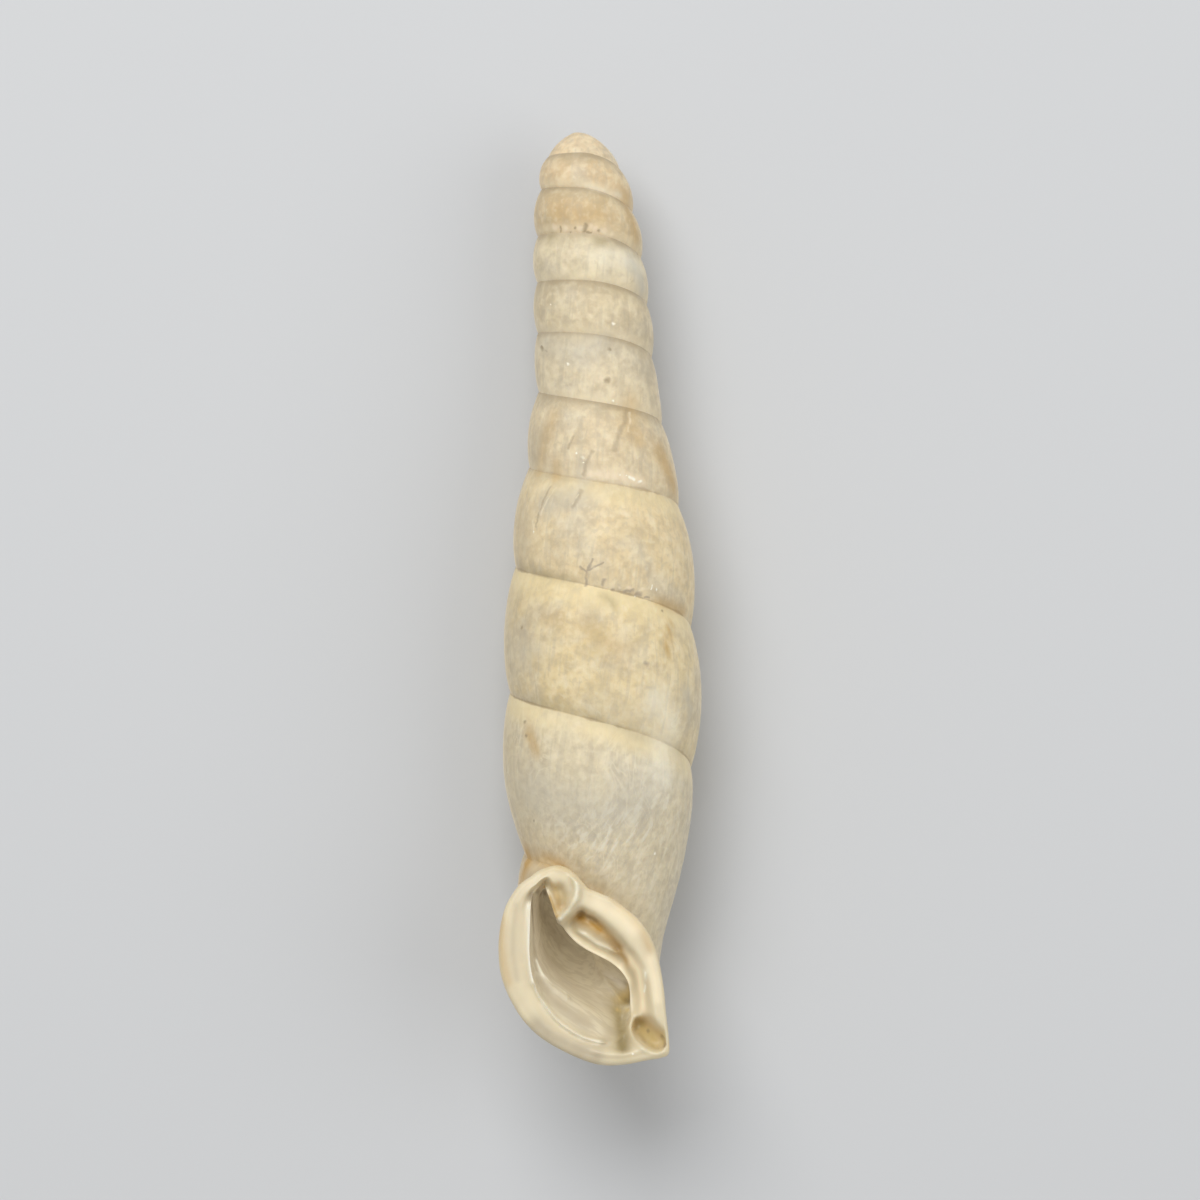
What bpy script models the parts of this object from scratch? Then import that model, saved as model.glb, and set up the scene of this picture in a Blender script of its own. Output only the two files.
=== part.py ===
"""The shell of a door snail: a slender spire that coils to the left and ends in a lipped, toothed mouth.

It lies on its back with the mouth up: +Y runs along the spire to the tip, +Z is up, out of the mouth,
and +X is to the right of someone who looks down on it. Sizes are in millimetres and MM turns them into
metres. A place on the shell is given as side (to the right of the spire's axis), depth (down the spire
from the tip) and height (in front of the axis). A turn counts the coil: 0, 1, 2 and so on are at the
left flank, and each quarter of a turn further is the front, the right flank and the back.
"""

import math

import bmesh
import bpy
from mathutils import Vector

MM = 0.001

# The coil: how deep the seam between two whorls lies at each turn, from the tip to the foot.
SEAM_DEPTHS = (
    (-1.0, 0.0),
    (0.0, 0.56),
    (1.0, 1.32),
    (2.0, 2.43),
    (3.0, 3.52),
    (4.0, 4.70),
    (5.0, 6.07),
    (6.0, 7.86),
    (7.0, 10.22),
    (8.0, 13.19),
    (8.5, 14.98),
    (9.0, 17.04),
    (9.25, 18.30),
    (9.5, 20.20),
    (9.75, 21.10),
    (10.0, 21.42),
    (10.25, 21.50),
)
FIRST_TURN = -2.0
LAST_TURN = 10.25
FOOT_DEPTH = 21.50

# The girth: the radius at the seams against depth, and how far from each end it rounds off.
SEAM_RADII = (
    (0.0, 0.70),
    (0.56, 0.80),
    (1.32, 0.98),
    (2.43, 1.15),
    (3.52, 1.24),
    (4.70, 1.30),
    (6.07, 1.345),
    (6.85, 1.475),
    (7.86, 1.65),
    (8.93, 1.86),
    (10.22, 1.99),
    (11.65, 2.07),
    (13.19, 2.125),
    (15.00, 2.07),
    (17.04, 1.77),
    (18.10, 1.55),
    (18.90, 1.38),
    (19.80, 1.30),
    (20.50, 1.22),
    (21.50, 1.05),
)
TIP_ROUNDING = 0.85
FOOT_ROUNDING = 1.10

# How far each whorl swells out past its seams, and how gently it comes in to the seam below it.
WHORL_SWELL = (
    (-1.0, 0.0),
    (-0.5, 0.02),
    (0.0, 0.10),
    (1.0, 0.13),
    (2.0, 0.11),
    (3.0, 0.10),
    (4.0, 0.10),
    (5.0, 0.13),
    (6.0, 0.16),
    (7.0, 0.20),
    (8.0, 0.22),
    (8.5, 0.17),
    (8.75, 0.30),
    (9.0, 0.52),
    (9.12, 0.20),
    (9.25, 0.0),
)
WHORL_HEAD_SHAPE = 0.85
WHORL_FOOT_SHAPE = (
    (7.8, 0.85),
    (8.5, 1.70),
    (9.0, 0.90),
)

# The spire isn't quite straight: it bows to the left towards the tip.
BOW_START = 12.9
BOW_LEFT = 0.54

# The mouth, spoke by spoke round it, from its top down the left, along the foot and up the right:
# side and depth of the lip's outer edge, then side, depth and height of the rim of the opening.
MOUTH_SPOKES = (
    (-1.09, 17.28, -1.35, 17.72, 1.75),
    (-1.68, 17.56, -1.49, 17.82, 1.82),
    (-2.13, 18.01, -1.63, 18.03, 1.96),
    (-2.35, 18.57, -1.68, 18.46, 2.05),
    (-2.42, 19.28, -1.68, 19.28, 2.07),
    (-2.32, 20.06, -1.61, 20.06, 2.07),
    (-1.96, 20.77, -1.32, 20.58, 2.07),
    (-1.44, 21.34, -0.92, 21.03, 2.06),
    (-0.73, 21.74, -0.40, 21.36, 2.04),
    (0.10, 22.00, 0.12, 21.50, 2.00),
    (0.92, 21.93, 0.50, 21.43, 1.88),
    (1.42, 21.83, 0.64, 21.17, 1.72),
    (1.62, 21.58, 0.71, 20.89, 1.60),
    (1.56, 21.08, 0.69, 20.53, 1.35),
    (1.49, 20.23, 0.64, 20.11, 1.27),
    (1.41, 19.71, 0.45, 19.76, 1.30),
    (1.23, 19.09, 0.10, 19.50, 1.36),
    (0.85, 18.53, -0.26, 19.31, 1.40),
    (0.28, 18.05, -0.66, 19.05, 1.42),
    (-0.03, 17.93, -0.85, 18.83, 1.44),
    (-0.26, 17.84, -0.97, 18.68, 1.92),
    (-0.66, 17.44, -1.16, 18.29, 1.86),
)

# The lip: how high its edge and its crest stand, how round the edge is, and how far towards the edge
# the crest runs on the left and on the right of the mouth, over how much of the mouth that shifts.
LIP_EDGE_HEIGHT = 2.02
LIP_CREST_HEIGHT = 2.20
LIP_EDGE_RADIUS = 0.09
CREST_LEFT = 0.55
CREST_RIGHT = 0.80
CREST_SHIFT = 1.2

# Ridges and hollows drawn on the lip and the mouth's right wall. Each is a route of (side, depth)
# points with its half width and its height, which is below zero for a hollow.
MOUTH_STROKES = {
    "gap under the upper tooth": (((-0.70, 18.58), (-0.38, 18.46)), 0.14, -0.12),
    "recess above the pillar fold": (((-0.38, 18.44), (0.0, 18.66), (0.47, 18.98), (0.76, 19.42)), 0.19, -0.24),
    "pillar fold": (((-0.72, 18.80), (-0.35, 19.12), (0.10, 19.30), (0.45, 19.58), (0.62, 20.00)), 0.12, 0.12),
    "back of the upper tooth": (((-0.62, 17.72), (-0.66, 18.10), (-0.88, 18.52)), 0.12, 0.16),
    "bowl of the upper tooth": (((-1.02, 17.78), (-0.95, 18.16)), 0.15, -0.18),
    "pit in the lower corner": (((0.98, 21.10), (1.28, 21.40)), 0.24, -0.42),
    "furrow beside the pit": (((0.56, 20.90), (0.56, 21.45)), 0.10, -0.12),
}

# The last whorl's tube: where it starts inside, its wall, how its pillar side runs in from the seam
# down to the axis, and how far inside the whorl's own surface it stays until it comes free.
TUBE_START = 8.3
TUBE_END = 9.0
WALL = 0.24
PILLAR_RUN = 3.0
PILLAR_WALL = 0.5
PILLAR_LEAN = 0.55
LEAN_START = 18.2
LEAN_RUN = 1.8
LEAST_PILLAR = 0.06
TUBE_SINK = ((8.3, 0.08), (8.85, 0.06), (9.0, -0.04))
TUBE_CLEARANCE = 0.12
TOP_WEDGE = 3.0
TUBE_SQUARENESS = 0.6

# How hard the tube's outside pulls forward out of the coil and flares at the lip. On the right of the
# mouth, where a spoke points rightward by this much or more, it leaves the coil sideways instead.
RIGHTWARD = 0.65
NECK_PULL = 2.4
NECK_PULL_RIGHT = 0.24
PILLAR_PULL = 2.0
FLARE_PULL = 1.0
FLARE_RIGHT = 0.3

# How hard its inside pulls forward and comes up to the rim, and on the right how far it hollows out
# the room under the pillar fold and the rim.
THROAT_PULL = 1.6
THROAT_PULL_RIGHT = 0.96
RIM_PULL = 0.6
RIM_PULL_RIGHT = 0.2
ROOM_UNDER_FOLD = 1.3
RIM_UNDERCUT = 1.0

# How far in front of the lip the space that the coil leaves for the tube goes on.
ROOM_BEFORE_LIP = 1.0

# How it lies: nose down by this much, with the axis this high over the ground, so that two whorls
# bear on it, each on a small flat, and where the middle of its outline is.
REST_TILT = math.radians(1.7)
AXIS_HEIGHT = 2.18
MIDDLE_SIDE = -0.041
MIDDLE_DEPTH = 10.97

# How finely the surfaces are divided.
STEPS_PER_TURN = 24
STEPS_PER_WHORL = 6
STEPS_ROUND_MOUTH = 40
TUBE_STEPS = 7
NECK_STEPS = 7
EDGE_STEPS = 4
LIP_STEPS = 8
THROAT_STEPS = 7
ROOM_STEPS = 18
OUTLINE_STEPS = 48
CURVE_STEPS = 24
LEAST_HALF_WIDTH = 0.04
WELD = 0.0005
UP = Vector((0.0, 0.0, 1.0))


def clamp(value, low, high):
    return max(low, min(high, value))


def mix(a, b, share):
    return a + (b - a) * share


def ease(share):
    share = clamp(share, 0.0, 1.0)
    return share * share * (3.0 - 2.0 * share)


def slope_at(table, i):
    """The slope of a smooth curve at its point i, which never overshoots the points beside it."""
    if i == 0 or i == len(table) - 1:
        return 0.0
    before = (table[i][1] - table[i - 1][1]) / (table[i][0] - table[i - 1][0])
    after = (table[i + 1][1] - table[i][1]) / (table[i + 1][0] - table[i][0])
    if before * after <= 0.0:
        return 0.0
    return 2.0 * before * after / (before + after)


def read(table, at):
    """The value at one place on the smooth curve through a table's (place, value) points."""
    if at <= table[0][0]:
        return table[0][1]
    if at >= table[-1][0]:
        return table[-1][1]
    i = max(k for k in range(len(table)) if table[k][0] <= at)
    span = table[i + 1][0] - table[i][0]
    share = (at - table[i][0]) / span
    rise = ease(share)
    first = share * (1.0 - share) ** 2 * span * slope_at(table, i)
    last = share**2 * (share - 1.0) * span * slope_at(table, i + 1)
    return mix(table[i][1], table[i + 1][1], rise) + first + last


def rounded_end(reach, rounding):
    """How much of the girth is left this far from an end that is rounded like a ball."""
    return math.sqrt(1.0 - (1.0 - clamp(reach / rounding, 0.0, 1.0)) ** 2)


def seam_radius(depth):
    ends = rounded_end(depth, TIP_ROUNDING) * rounded_end(FOOT_DEPTH - depth, FOOT_ROUNDING)
    return read(SEAM_RADII, depth) * ends


def swell_shape(turn, share):
    """The swell across a whorl, from 0 at the seam above over 1 at its fullest to 0 at the seam below."""
    head = WHORL_HEAD_SHAPE
    foot = read(WHORL_FOOT_SHAPE, turn)
    fullest = head / (head + foot)
    most = fullest**head * (1.0 - fullest) ** foot
    return share**head * (1.0 - share) ** foot / most


def whorl_radius(turn, depth):
    """The radius of the coil's surface at a turn and a depth within that turn's whorl."""
    top = read(SEAM_DEPTHS, turn)
    foot = read(SEAM_DEPTHS, turn + 1.0)
    share = clamp((depth - top) / max(foot - top, WELD), 0.0, 1.0)
    return seam_radius(depth) + read(WHORL_SWELL, turn) * swell_shape(turn, share)


def around(turn, radius, depth):
    """The (side, depth, height) of a point of the coil."""
    angle = 2.0 * math.pi * turn
    return Vector((-radius * math.cos(angle), depth, radius * math.sin(angle)))


def bowed(point):
    """A point after the spire's bow to the left."""
    bend = max(0.0, 1.0 - point.y / BOW_START) ** 2
    return Vector((point.x - BOW_LEFT * bend, point.y, point.z))


def laid(point):
    """A point of the shell, given as side, depth and height, in metres where the shell lies."""
    side = point.x - MIDDLE_SIDE
    along = MIDDLE_DEPTH - point.y
    y = along * math.cos(REST_TILT) + point.z * math.sin(REST_TILT)
    z = point.z * math.cos(REST_TILT) - along * math.sin(REST_TILT) + AXIS_HEIGHT
    return Vector((side, y, z)) * MM


def coil_point(along, across):
    """A point of the coil: along runs from the tip to the foot, across from one seam to the next."""
    turn = mix(FIRST_TURN, LAST_TURN, along)
    share = 0.5 - 0.5 * math.cos(math.pi * across)
    top = read(SEAM_DEPTHS, turn)
    foot = read(SEAM_DEPTHS, turn + 1.0)
    depth = mix(top, foot, share)
    return bowed(around(turn, whorl_radius(turn, depth), depth))


def ring_through(points, count):
    """Points at even steps round the closed smooth curve through some points, starting at the first."""
    size = len(points)
    curve = []
    for i in range(size * CURVE_STEPS + 1):
        k, share = divmod(i / CURVE_STEPS, 1.0)
        k = int(k)
        a, b, c, d = (points[(k + j) % size] for j in (-1, 0, 1, 2))
        bend = (2.0 * a - 5.0 * b + 4.0 * c - d) * share**2 + (3.0 * b - a - 3.0 * c + d) * share**3
        curve.append(b + (c - a) * share * 0.5 + bend * 0.5)
    reach = [0.0]
    for p, q in zip(curve, curve[1:]):
        reach.append(reach[-1] + (q - p).length)
    ring = []
    k = 0
    for i in range(count):
        at = reach[-1] * i / count
        while reach[k + 1] < at:
            k += 1
        ring.append(curve[k].lerp(curve[k + 1], (at - reach[k]) / (reach[k + 1] - reach[k])))
    return ring


def spoke_rings():
    """The lip's outer edge, the rim of the opening, and the way outwards between them, spoke by spoke."""
    spokes = ring_through([Vector(spoke) for spoke in MOUTH_SPOKES], STEPS_ROUND_MOUTH)
    edge = [Vector((p[0], p[1], LIP_EDGE_HEIGHT)) for p in spokes]
    rim = [Vector((p[2], p[3], p[4])) for p in spokes]
    outward = [Vector((p[0] - p[2], p[1] - p[3], 0.0)).normalized() for p in spokes]
    return edge, rim, outward


def tube_ring(turn, inset):
    """The tube's outline at a turn, this far inside the whorl's surface: its top, flank, foot and pillar side."""
    top = read(SEAM_DEPTHS, turn)
    first = top + TUBE_CLEARANCE + inset * TOP_WEDGE
    last = read(SEAM_DEPTHS, turn + 1.0) - TUBE_CLEARANCE - inset
    outline = []
    for i in range(OUTLINE_STEPS):
        angle = 2.0 * math.pi * i / OUTLINE_STEPS
        depth = mix(first, last, 0.5 - 0.5 * math.cos(angle))
        lean = PILLAR_LEAN * ease((depth - LEAN_START) / LEAN_RUN)
        flank = whorl_radius(turn, depth) - inset + lean * math.cos(2.0 * math.pi * turn)
        pillar = max(LEAST_PILLAR, seam_radius(top) * (1.0 - (depth - top) / PILLAR_RUN)) + inset * PILLAR_WALL
        half = max(0.5 * (flank - pillar), LEAST_HALF_WIDTH)
        bulge = math.copysign(abs(math.sin(angle)) ** TUBE_SQUARENESS, math.sin(angle))
        outline.append(around(turn, flank - half + half * bulge, depth) + Vector((lean, 0.0, 0.0)))
    return ring_through(outline, STEPS_ROUND_MOUTH)


def curve_between(start, leave, end, arrive, share):
    """A point of the smooth curve that leaves its start and arrives at its end with these pulls."""
    a = 2.0 * share**3 - 3.0 * share**2 + 1.0
    b = share**3 - 2.0 * share**2 + share
    c = 3.0 * share**2 - 2.0 * share**3
    d = share**3 - share**2
    return start * a + leave * b + end * c + arrive * d


def nearness(point, route):
    """How far a point is from a route, seen from the front."""
    best = math.inf
    for (ax, ay), (bx, by) in zip(route, route[1:]):
        dx = bx - ax
        dy = by - ay
        share = clamp(((point.x - ax) * dx + (point.y - ay) * dy) / (dx * dx + dy * dy), 0.0, 1.0)
        best = min(best, math.hypot(point.x - ax - dx * share, point.y - ay - dy * share))
    return best


def stroked(point):
    """A point of the mouth with the ridges and hollows drawn on it."""
    lift = 0.0
    for route, width, height in MOUTH_STROKES.values():
        lift += height * math.exp(-((nearness(point, route) / width) ** 2))
    return point + UP * lift


def lip_point(edge, rim, outward, share):
    """A point of the lip's front, from the rim of the opening at 0 to where the edge rounds over at 1."""
    last = edge - outward * LIP_EDGE_RADIUS
    point = rim.lerp(last, share)
    crest = mix(CREST_LEFT, CREST_RIGHT, ease(0.5 + rim.x / CREST_SHIFT))
    if share < crest:
        point.z = mix(rim.z, LIP_CREST_HEIGHT, ease(share / crest))
    else:
        fall = math.sqrt(1.0 - ((share - crest) / (1.0 - crest)) ** 2)
        point.z = mix(LIP_EDGE_HEIGHT + LIP_EDGE_RADIUS, LIP_CREST_HEIGHT, fall)
    return stroked(point)


def mouth_rings(outer, lumen):
    """The rings from the tube's outside over the lip's edge and front and down the throat to its inside."""
    edge, rim, outward = spoke_rings()
    around_mouth = range(STEPS_ROUND_MOUTH)
    turned_in = [edge[i] - outward[i] * LIP_EDGE_RADIUS for i in around_mouth]
    right = [ease(outward[i].x / RIGHTWARD) for i in around_mouth]

    def neck(share):
        ring = []
        for i in around_mouth:
            end = turned_in[i] - UP * LIP_EDGE_RADIUS
            leave = UP * mix(NECK_PULL, NECK_PULL_RIGHT, right[i]) + outward[i] * PILLAR_PULL * right[i]
            arrive = (outward[i] * mix(1.0, FLARE_RIGHT, right[i]) + UP * right[i]) * FLARE_PULL
            ring.append(curve_between(outer[i], leave, end, arrive, share))
        return ring

    def rounded_edge(angle):
        reach = [outward[i] * math.cos(angle) + UP * math.sin(angle) for i in around_mouth]
        return [turned_in[i] + reach[i] * LIP_EDGE_RADIUS for i in around_mouth]

    def lip(share):
        return [lip_point(edge[i], rim[i], outward[i], share) for i in around_mouth]

    def throat(share):
        ring = []
        for i in around_mouth:
            end = stroked(rim[i])
            leave = UP * mix(THROAT_PULL, THROAT_PULL_RIGHT, right[i]) + outward[i] * ROOM_UNDER_FOLD * right[i]
            arrive = UP * mix(RIM_PULL, RIM_PULL_RIGHT, right[i]) - outward[i] * RIM_UNDERCUT * right[i]
            ring.append(curve_between(lumen[i], leave, end, arrive, share))
        return ring

    outside = [neck(k / NECK_STEPS) for k in range(NECK_STEPS + 1)]
    over = [rounded_edge(math.pi * (k / EDGE_STEPS - 0.5)) for k in range(1, EDGE_STEPS)]
    front = [lip(1.0 - k / LIP_STEPS) for k in range(LIP_STEPS + 1)]
    inside = [throat(1.0 - k / THROAT_STEPS) for k in range(1, THROAT_STEPS + 1)]
    middle = []
    for k in range(1, ROOM_STEPS + 1):
        share = k / ROOM_STEPS
        inner = throat(2.0 * share) if share <= 0.5 else lip(2.0 * share - 1.0)
        middle.append([p.lerp(q, 0.5) for p, q in zip(neck(share), inner)])
    middle.append([point + UP * ROOM_BEFORE_LIP for point in middle[-1]])
    return outside + over + front + inside, middle


def sheet(columns, rows, place):
    """A closed skin: a flat sheet whose every point is moved to its place, with the edges that meet welded."""
    skin = bmesh.new()
    bmesh.ops.create_grid(skin, x_segments=columns, y_segments=rows, size=0.5)
    for vert in skin.verts:
        vert.co = laid(place(vert.co.x + 0.5, vert.co.y + 0.5))
    bmesh.ops.remove_doubles(skin, verts=skin.verts, dist=WELD * MM)
    bmesh.ops.dissolve_degenerate(skin, edges=skin.edges, dist=WELD * MM)
    open_edges = [edge for edge in skin.edges if edge.is_boundary]
    bmesh.ops.holes_fill(skin, edges=open_edges, sides=0)
    bmesh.ops.triangulate(skin, faces=[face for face in skin.faces if len(face.verts) > 4])
    bmesh.ops.recalc_face_normals(skin, faces=skin.faces)
    if skin.calc_volume(signed=True) < 0.0:
        bmesh.ops.reverse_faces(skin, faces=skin.faces)
    return skin


def finished(name, skin, material):
    mesh = bpy.data.meshes.new(name)
    skin.to_mesh(mesh)
    skin.free()
    mesh.materials.append(material)
    mesh.shade_smooth()
    piece = bpy.data.objects.new(name, mesh)
    bpy.context.scene.collection.objects.link(piece)
    return piece


def skin_of_rings(name, rings, material):
    """A closed skin through rings that follow one another, with the first and the last ring closed over."""

    def place(around_share, along_share):
        ring = rings[round(along_share * (len(rings) - 1))]
        return ring[round(around_share * len(ring)) % len(ring)]

    return finished(name, sheet(STEPS_ROUND_MOUTH, len(rings) - 1, place), material)


def ivory():
    material = bpy.data.materials.new("ivory")
    material.use_nodes = True
    shader = material.node_tree.nodes["Principled BSDF"]
    shader.inputs["Base Color"].default_value = (0.68, 0.60, 0.46, 1.0)
    shader.inputs["Roughness"].default_value = 0.38
    shader.inputs["Metallic"].default_value = 0.0
    return material


def make_coil(material):
    """The spire down to its foot, solid, with the two small flats that it rests on."""
    rows = round((LAST_TURN - FIRST_TURN) * STEPS_PER_TURN)
    skin = sheet(rows, STEPS_PER_WHORL, coil_point)
    everything = list(skin.verts) + list(skin.edges) + list(skin.faces)
    bmesh.ops.bisect_plane(skin, geom=everything, plane_co=(0, 0, 0), plane_no=(0, 0, -1), clear_outer=True)
    bmesh.ops.holes_fill(skin, edges=[edge for edge in skin.edges if edge.is_boundary], sides=0)
    bmesh.ops.triangulate(skin, faces=[face for face in skin.faces if len(face.verts) > 4])
    return finished("shell", skin, material)


def make_tube(material):
    """The last half whorl as a tube with its lip, teeth and inside, and the room that the spire gives it."""
    turns = [mix(TUBE_START, TUBE_END, k / TUBE_STEPS) for k in range(TUBE_STEPS + 1)]
    outer = [tube_ring(turn, read(TUBE_SINK, turn)) for turn in turns]
    lumen = [tube_ring(turn, WALL) for turn in turns]
    midway = [tube_ring(turn, 0.5 * (read(TUBE_SINK, turn) + WALL)) for turn in turns]
    through_mouth, middle = mouth_rings(outer[-1], lumen[-1])
    tube = skin_of_rings("tube", outer[:-1] + through_mouth + lumen[-2:0:-1], material)
    room = skin_of_rings("room for the tube", midway[1:] + middle, material)
    return tube, room


def combine(piece, operation, other):
    modifier = piece.modifiers.new(other.name, "BOOLEAN")
    modifier.operation = operation
    modifier.object = other
    other.hide_render = True
    other.display_type = "WIRE"


def main():
    for leftover in list(bpy.data.objects):
        bpy.data.objects.remove(leftover, do_unlink=True)
    material = ivory()
    shell = make_coil(material)
    tube, room = make_tube(material)
    combine(shell, "DIFFERENCE", room)
    combine(shell, "UNION", tube)


main()
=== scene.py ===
# %% [markdown]
# # A door snail's shell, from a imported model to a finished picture
#
# The shell is a slender spire of ten whorls that coils to the left. Its last half whorl comes free as a
# short neck and opens in a lipped mouth with two folds inside. It lies on its back with the mouth up.
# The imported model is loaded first. It fixes the size and the place of everything, so its box is kept to
# compare with the finished piece.

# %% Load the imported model
import math

import bmesh
import bpy
import numpy as np
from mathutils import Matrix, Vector
from mathutils.bvhtree import BVHTree
from mathutils.kdtree import KDTree


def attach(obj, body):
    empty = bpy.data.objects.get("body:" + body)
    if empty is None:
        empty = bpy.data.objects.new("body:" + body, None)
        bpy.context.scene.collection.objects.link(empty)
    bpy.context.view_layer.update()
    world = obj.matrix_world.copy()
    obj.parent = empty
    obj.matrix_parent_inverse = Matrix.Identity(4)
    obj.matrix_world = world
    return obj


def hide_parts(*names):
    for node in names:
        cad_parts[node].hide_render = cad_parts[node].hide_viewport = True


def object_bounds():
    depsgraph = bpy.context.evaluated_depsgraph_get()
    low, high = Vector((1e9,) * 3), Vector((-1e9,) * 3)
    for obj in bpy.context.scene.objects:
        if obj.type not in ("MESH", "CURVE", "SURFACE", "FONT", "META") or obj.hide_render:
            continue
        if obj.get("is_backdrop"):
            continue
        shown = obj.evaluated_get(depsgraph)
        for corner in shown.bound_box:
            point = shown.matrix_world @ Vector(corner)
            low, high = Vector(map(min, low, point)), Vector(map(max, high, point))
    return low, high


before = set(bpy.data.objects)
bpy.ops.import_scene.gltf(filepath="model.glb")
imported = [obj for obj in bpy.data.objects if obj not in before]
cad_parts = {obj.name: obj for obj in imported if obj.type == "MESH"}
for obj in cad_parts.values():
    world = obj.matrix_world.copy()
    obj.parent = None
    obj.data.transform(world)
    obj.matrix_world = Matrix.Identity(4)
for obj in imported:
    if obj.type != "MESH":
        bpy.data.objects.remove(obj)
packed_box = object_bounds()
MM = 0.001
print("packed box in mm:", [[round(c / MM, 2) for c in corner] for corner in packed_box])

# %% [markdown]
# ## The camera
#
# The photo looks almost straight down on the shell, from a little towards its mouth. The seams tell how
# much: each one is level at both flanks, and at the front it appears higher than halfway between them.
# A long lens far away matches it, so the spire keeps its proportions from end to end.

# %% Place the camera
PHOTO_SIDE = 1200.0
AIM = Vector((0.005, -0.071, 2.2))
DISTANCE = 170.0
LEAN_TO_MOUTH = math.radians(3.32)
LENS = 218.07
SENSOR = 36.0
NEAREST_SEEN, FARTHEST_SEEN = 0.01, 10.0

BACK = Vector((0.0, -math.sin(LEAN_TO_MOUTH), math.cos(LEAN_TO_MOUTH)))
RIGHT = Vector((1.0, 0.0, 0.0))
TOP = BACK.cross(RIGHT)
EYE = AIM + BACK * DISTANCE

camera_data = bpy.data.cameras.new("photo camera")
camera_data.lens = LENS
camera_data.sensor_width = SENSOR
camera_data.clip_start = NEAREST_SEEN
camera_data.clip_end = FARTHEST_SEEN
camera = bpy.data.objects.new("photo camera", camera_data)
camera.location = EYE * MM
camera.rotation_euler = (LEAN_TO_MOUTH, 0.0, 0.0)
bpy.context.scene.collection.objects.link(camera)
bpy.context.scene.camera = camera
print("camera", round(DISTANCE), "mm away, leaning", round(math.degrees(LEAN_TO_MOUTH), 1), "degrees")

# %% [markdown]
# ## Places on the shell
#
# Everything on a coiled shell is easiest to say in the shell's own terms: side (to the right of the
# spire's axis), depth (down the spire from its tip) and height (in front of the axis), in millimetres.
# One helper lays such a place down in the world, and another goes back. A third takes a place that was
# read off the photo, in pixels, and finds the point of the shell at a known height under it.

# %% Turn places on the shell into places in the world, and back
REST_TILT = math.radians(1.7)
AXIS_HEIGHT = 2.18
MIDDLE_SIDE = -0.041
MIDDLE_DEPTH = 10.97


def laid(point):
    """The place in the world, in millimetres, of a point given as side, depth and height."""
    along = MIDDLE_DEPTH - point.y
    y = along * math.cos(REST_TILT) + point.z * math.sin(REST_TILT)
    z = point.z * math.cos(REST_TILT) - along * math.sin(REST_TILT) + AXIS_HEIGHT
    return Vector((point.x - MIDDLE_SIDE, y, z))


def lifted(point):
    """The side, depth and height of a place in the world."""
    z = point.z - AXIS_HEIGHT
    along = point.y * math.cos(REST_TILT) - z * math.sin(REST_TILT)
    height = point.y * math.sin(REST_TILT) + z * math.cos(REST_TILT)
    return Vector((point.x + MIDDLE_SIDE, MIDDLE_DEPTH - along, height))


def sight(x, y):
    """The direction in the world in which the camera sees a pixel of the photo."""
    scale = SENSOR / LENS / PHOTO_SIDE
    right = (x - PHOTO_SIDE / 2) * scale
    top = (PHOTO_SIDE / 2 - y) * scale
    return (RIGHT * right + TOP * top - BACK).normalized()


def under(x, y, height):
    """The point of the shell at this height that the camera sees at a pixel of the photo."""
    start = lifted(EYE)
    way = lifted(EYE + sight(x, y)) - start
    return start + way * ((height - start.z) / way.z)


print("the photo's middle is", [round(c, 2) for c in under(600, 600, 0.0)], "on the shell")

# %% [markdown]
# ## Smooth tables
#
# The spire's girth, the seams and the swell of the whorls all change slowly from tip to foot. A short
# table of measured values and a smooth curve through them says that in a few numbers. The curve is built
# so that it never swings out past the values beside it, which would show as a dent or a bump.

# %% Read a smooth curve through a table


def clamp(value, low, high):
    return max(low, min(high, value))


def mix(a, b, share):
    return a + (b - a) * share


def ease(share):
    share = clamp(share, 0.0, 1.0)
    return share * share * (3.0 - 2.0 * share)


def slope_at(table, i):
    if i == 0 or i == len(table) - 1:
        return 0.0
    before = (table[i][1] - table[i - 1][1]) / (table[i][0] - table[i - 1][0])
    after = (table[i + 1][1] - table[i][1]) / (table[i + 1][0] - table[i][0])
    if before * after <= 0.0:
        return 0.0
    return 2.0 * before * after / (before + after)


def read(table, at):
    """The value at one place on the smooth curve through a table's (place, value) points."""
    if at <= table[0][0]:
        return table[0][1]
    if at >= table[-1][0]:
        return table[-1][1]
    i = max(k for k in range(len(table)) if table[k][0] <= at)
    span = table[i + 1][0] - table[i][0]
    share = (at - table[i][0]) / span
    first = share * (1.0 - share) ** 2 * span * slope_at(table, i)
    last = share**2 * (share - 1.0) * span * slope_at(table, i + 1)
    return mix(table[i][1], table[i + 1][1], ease(share)) + first + last


print("halfway between 0 and 1 a curve reads", read(((0.0, 0.0), (1.0, 1.0)), 0.5))

# %% [markdown]
# ## The coil in numbers
#
# A turn counts the coil: 0, 1, 2 and so on are at the left flank, and each quarter of a turn further is
# the front, the right flank and the back. The girth is the radius at the seams. Each whorl swells out
# past its seams, most just below its middle, and the spire bows a little to the left towards its tip.

# %% The spire's girth, the swell of its whorls and its bow
SEAM_RADII = (
    (0.0, 0.70), (0.56, 0.80), (1.32, 0.98), (2.43, 1.15), (3.52, 1.24), (4.70, 1.30), (6.07, 1.345),
    (6.85, 1.475), (7.86, 1.62), (8.93, 1.83), (10.22, 1.99), (11.65, 2.07), (13.19, 2.125),
    (15.00, 2.07), (17.04, 1.77), (18.10, 1.55), (18.90, 1.38), (19.80, 1.30), (20.50, 1.22),
    (21.50, 1.05),
)
TIP_ROUNDING = 0.85
FOOT_DEPTH = 21.50
FOOT_ROUNDING = 1.10

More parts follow.
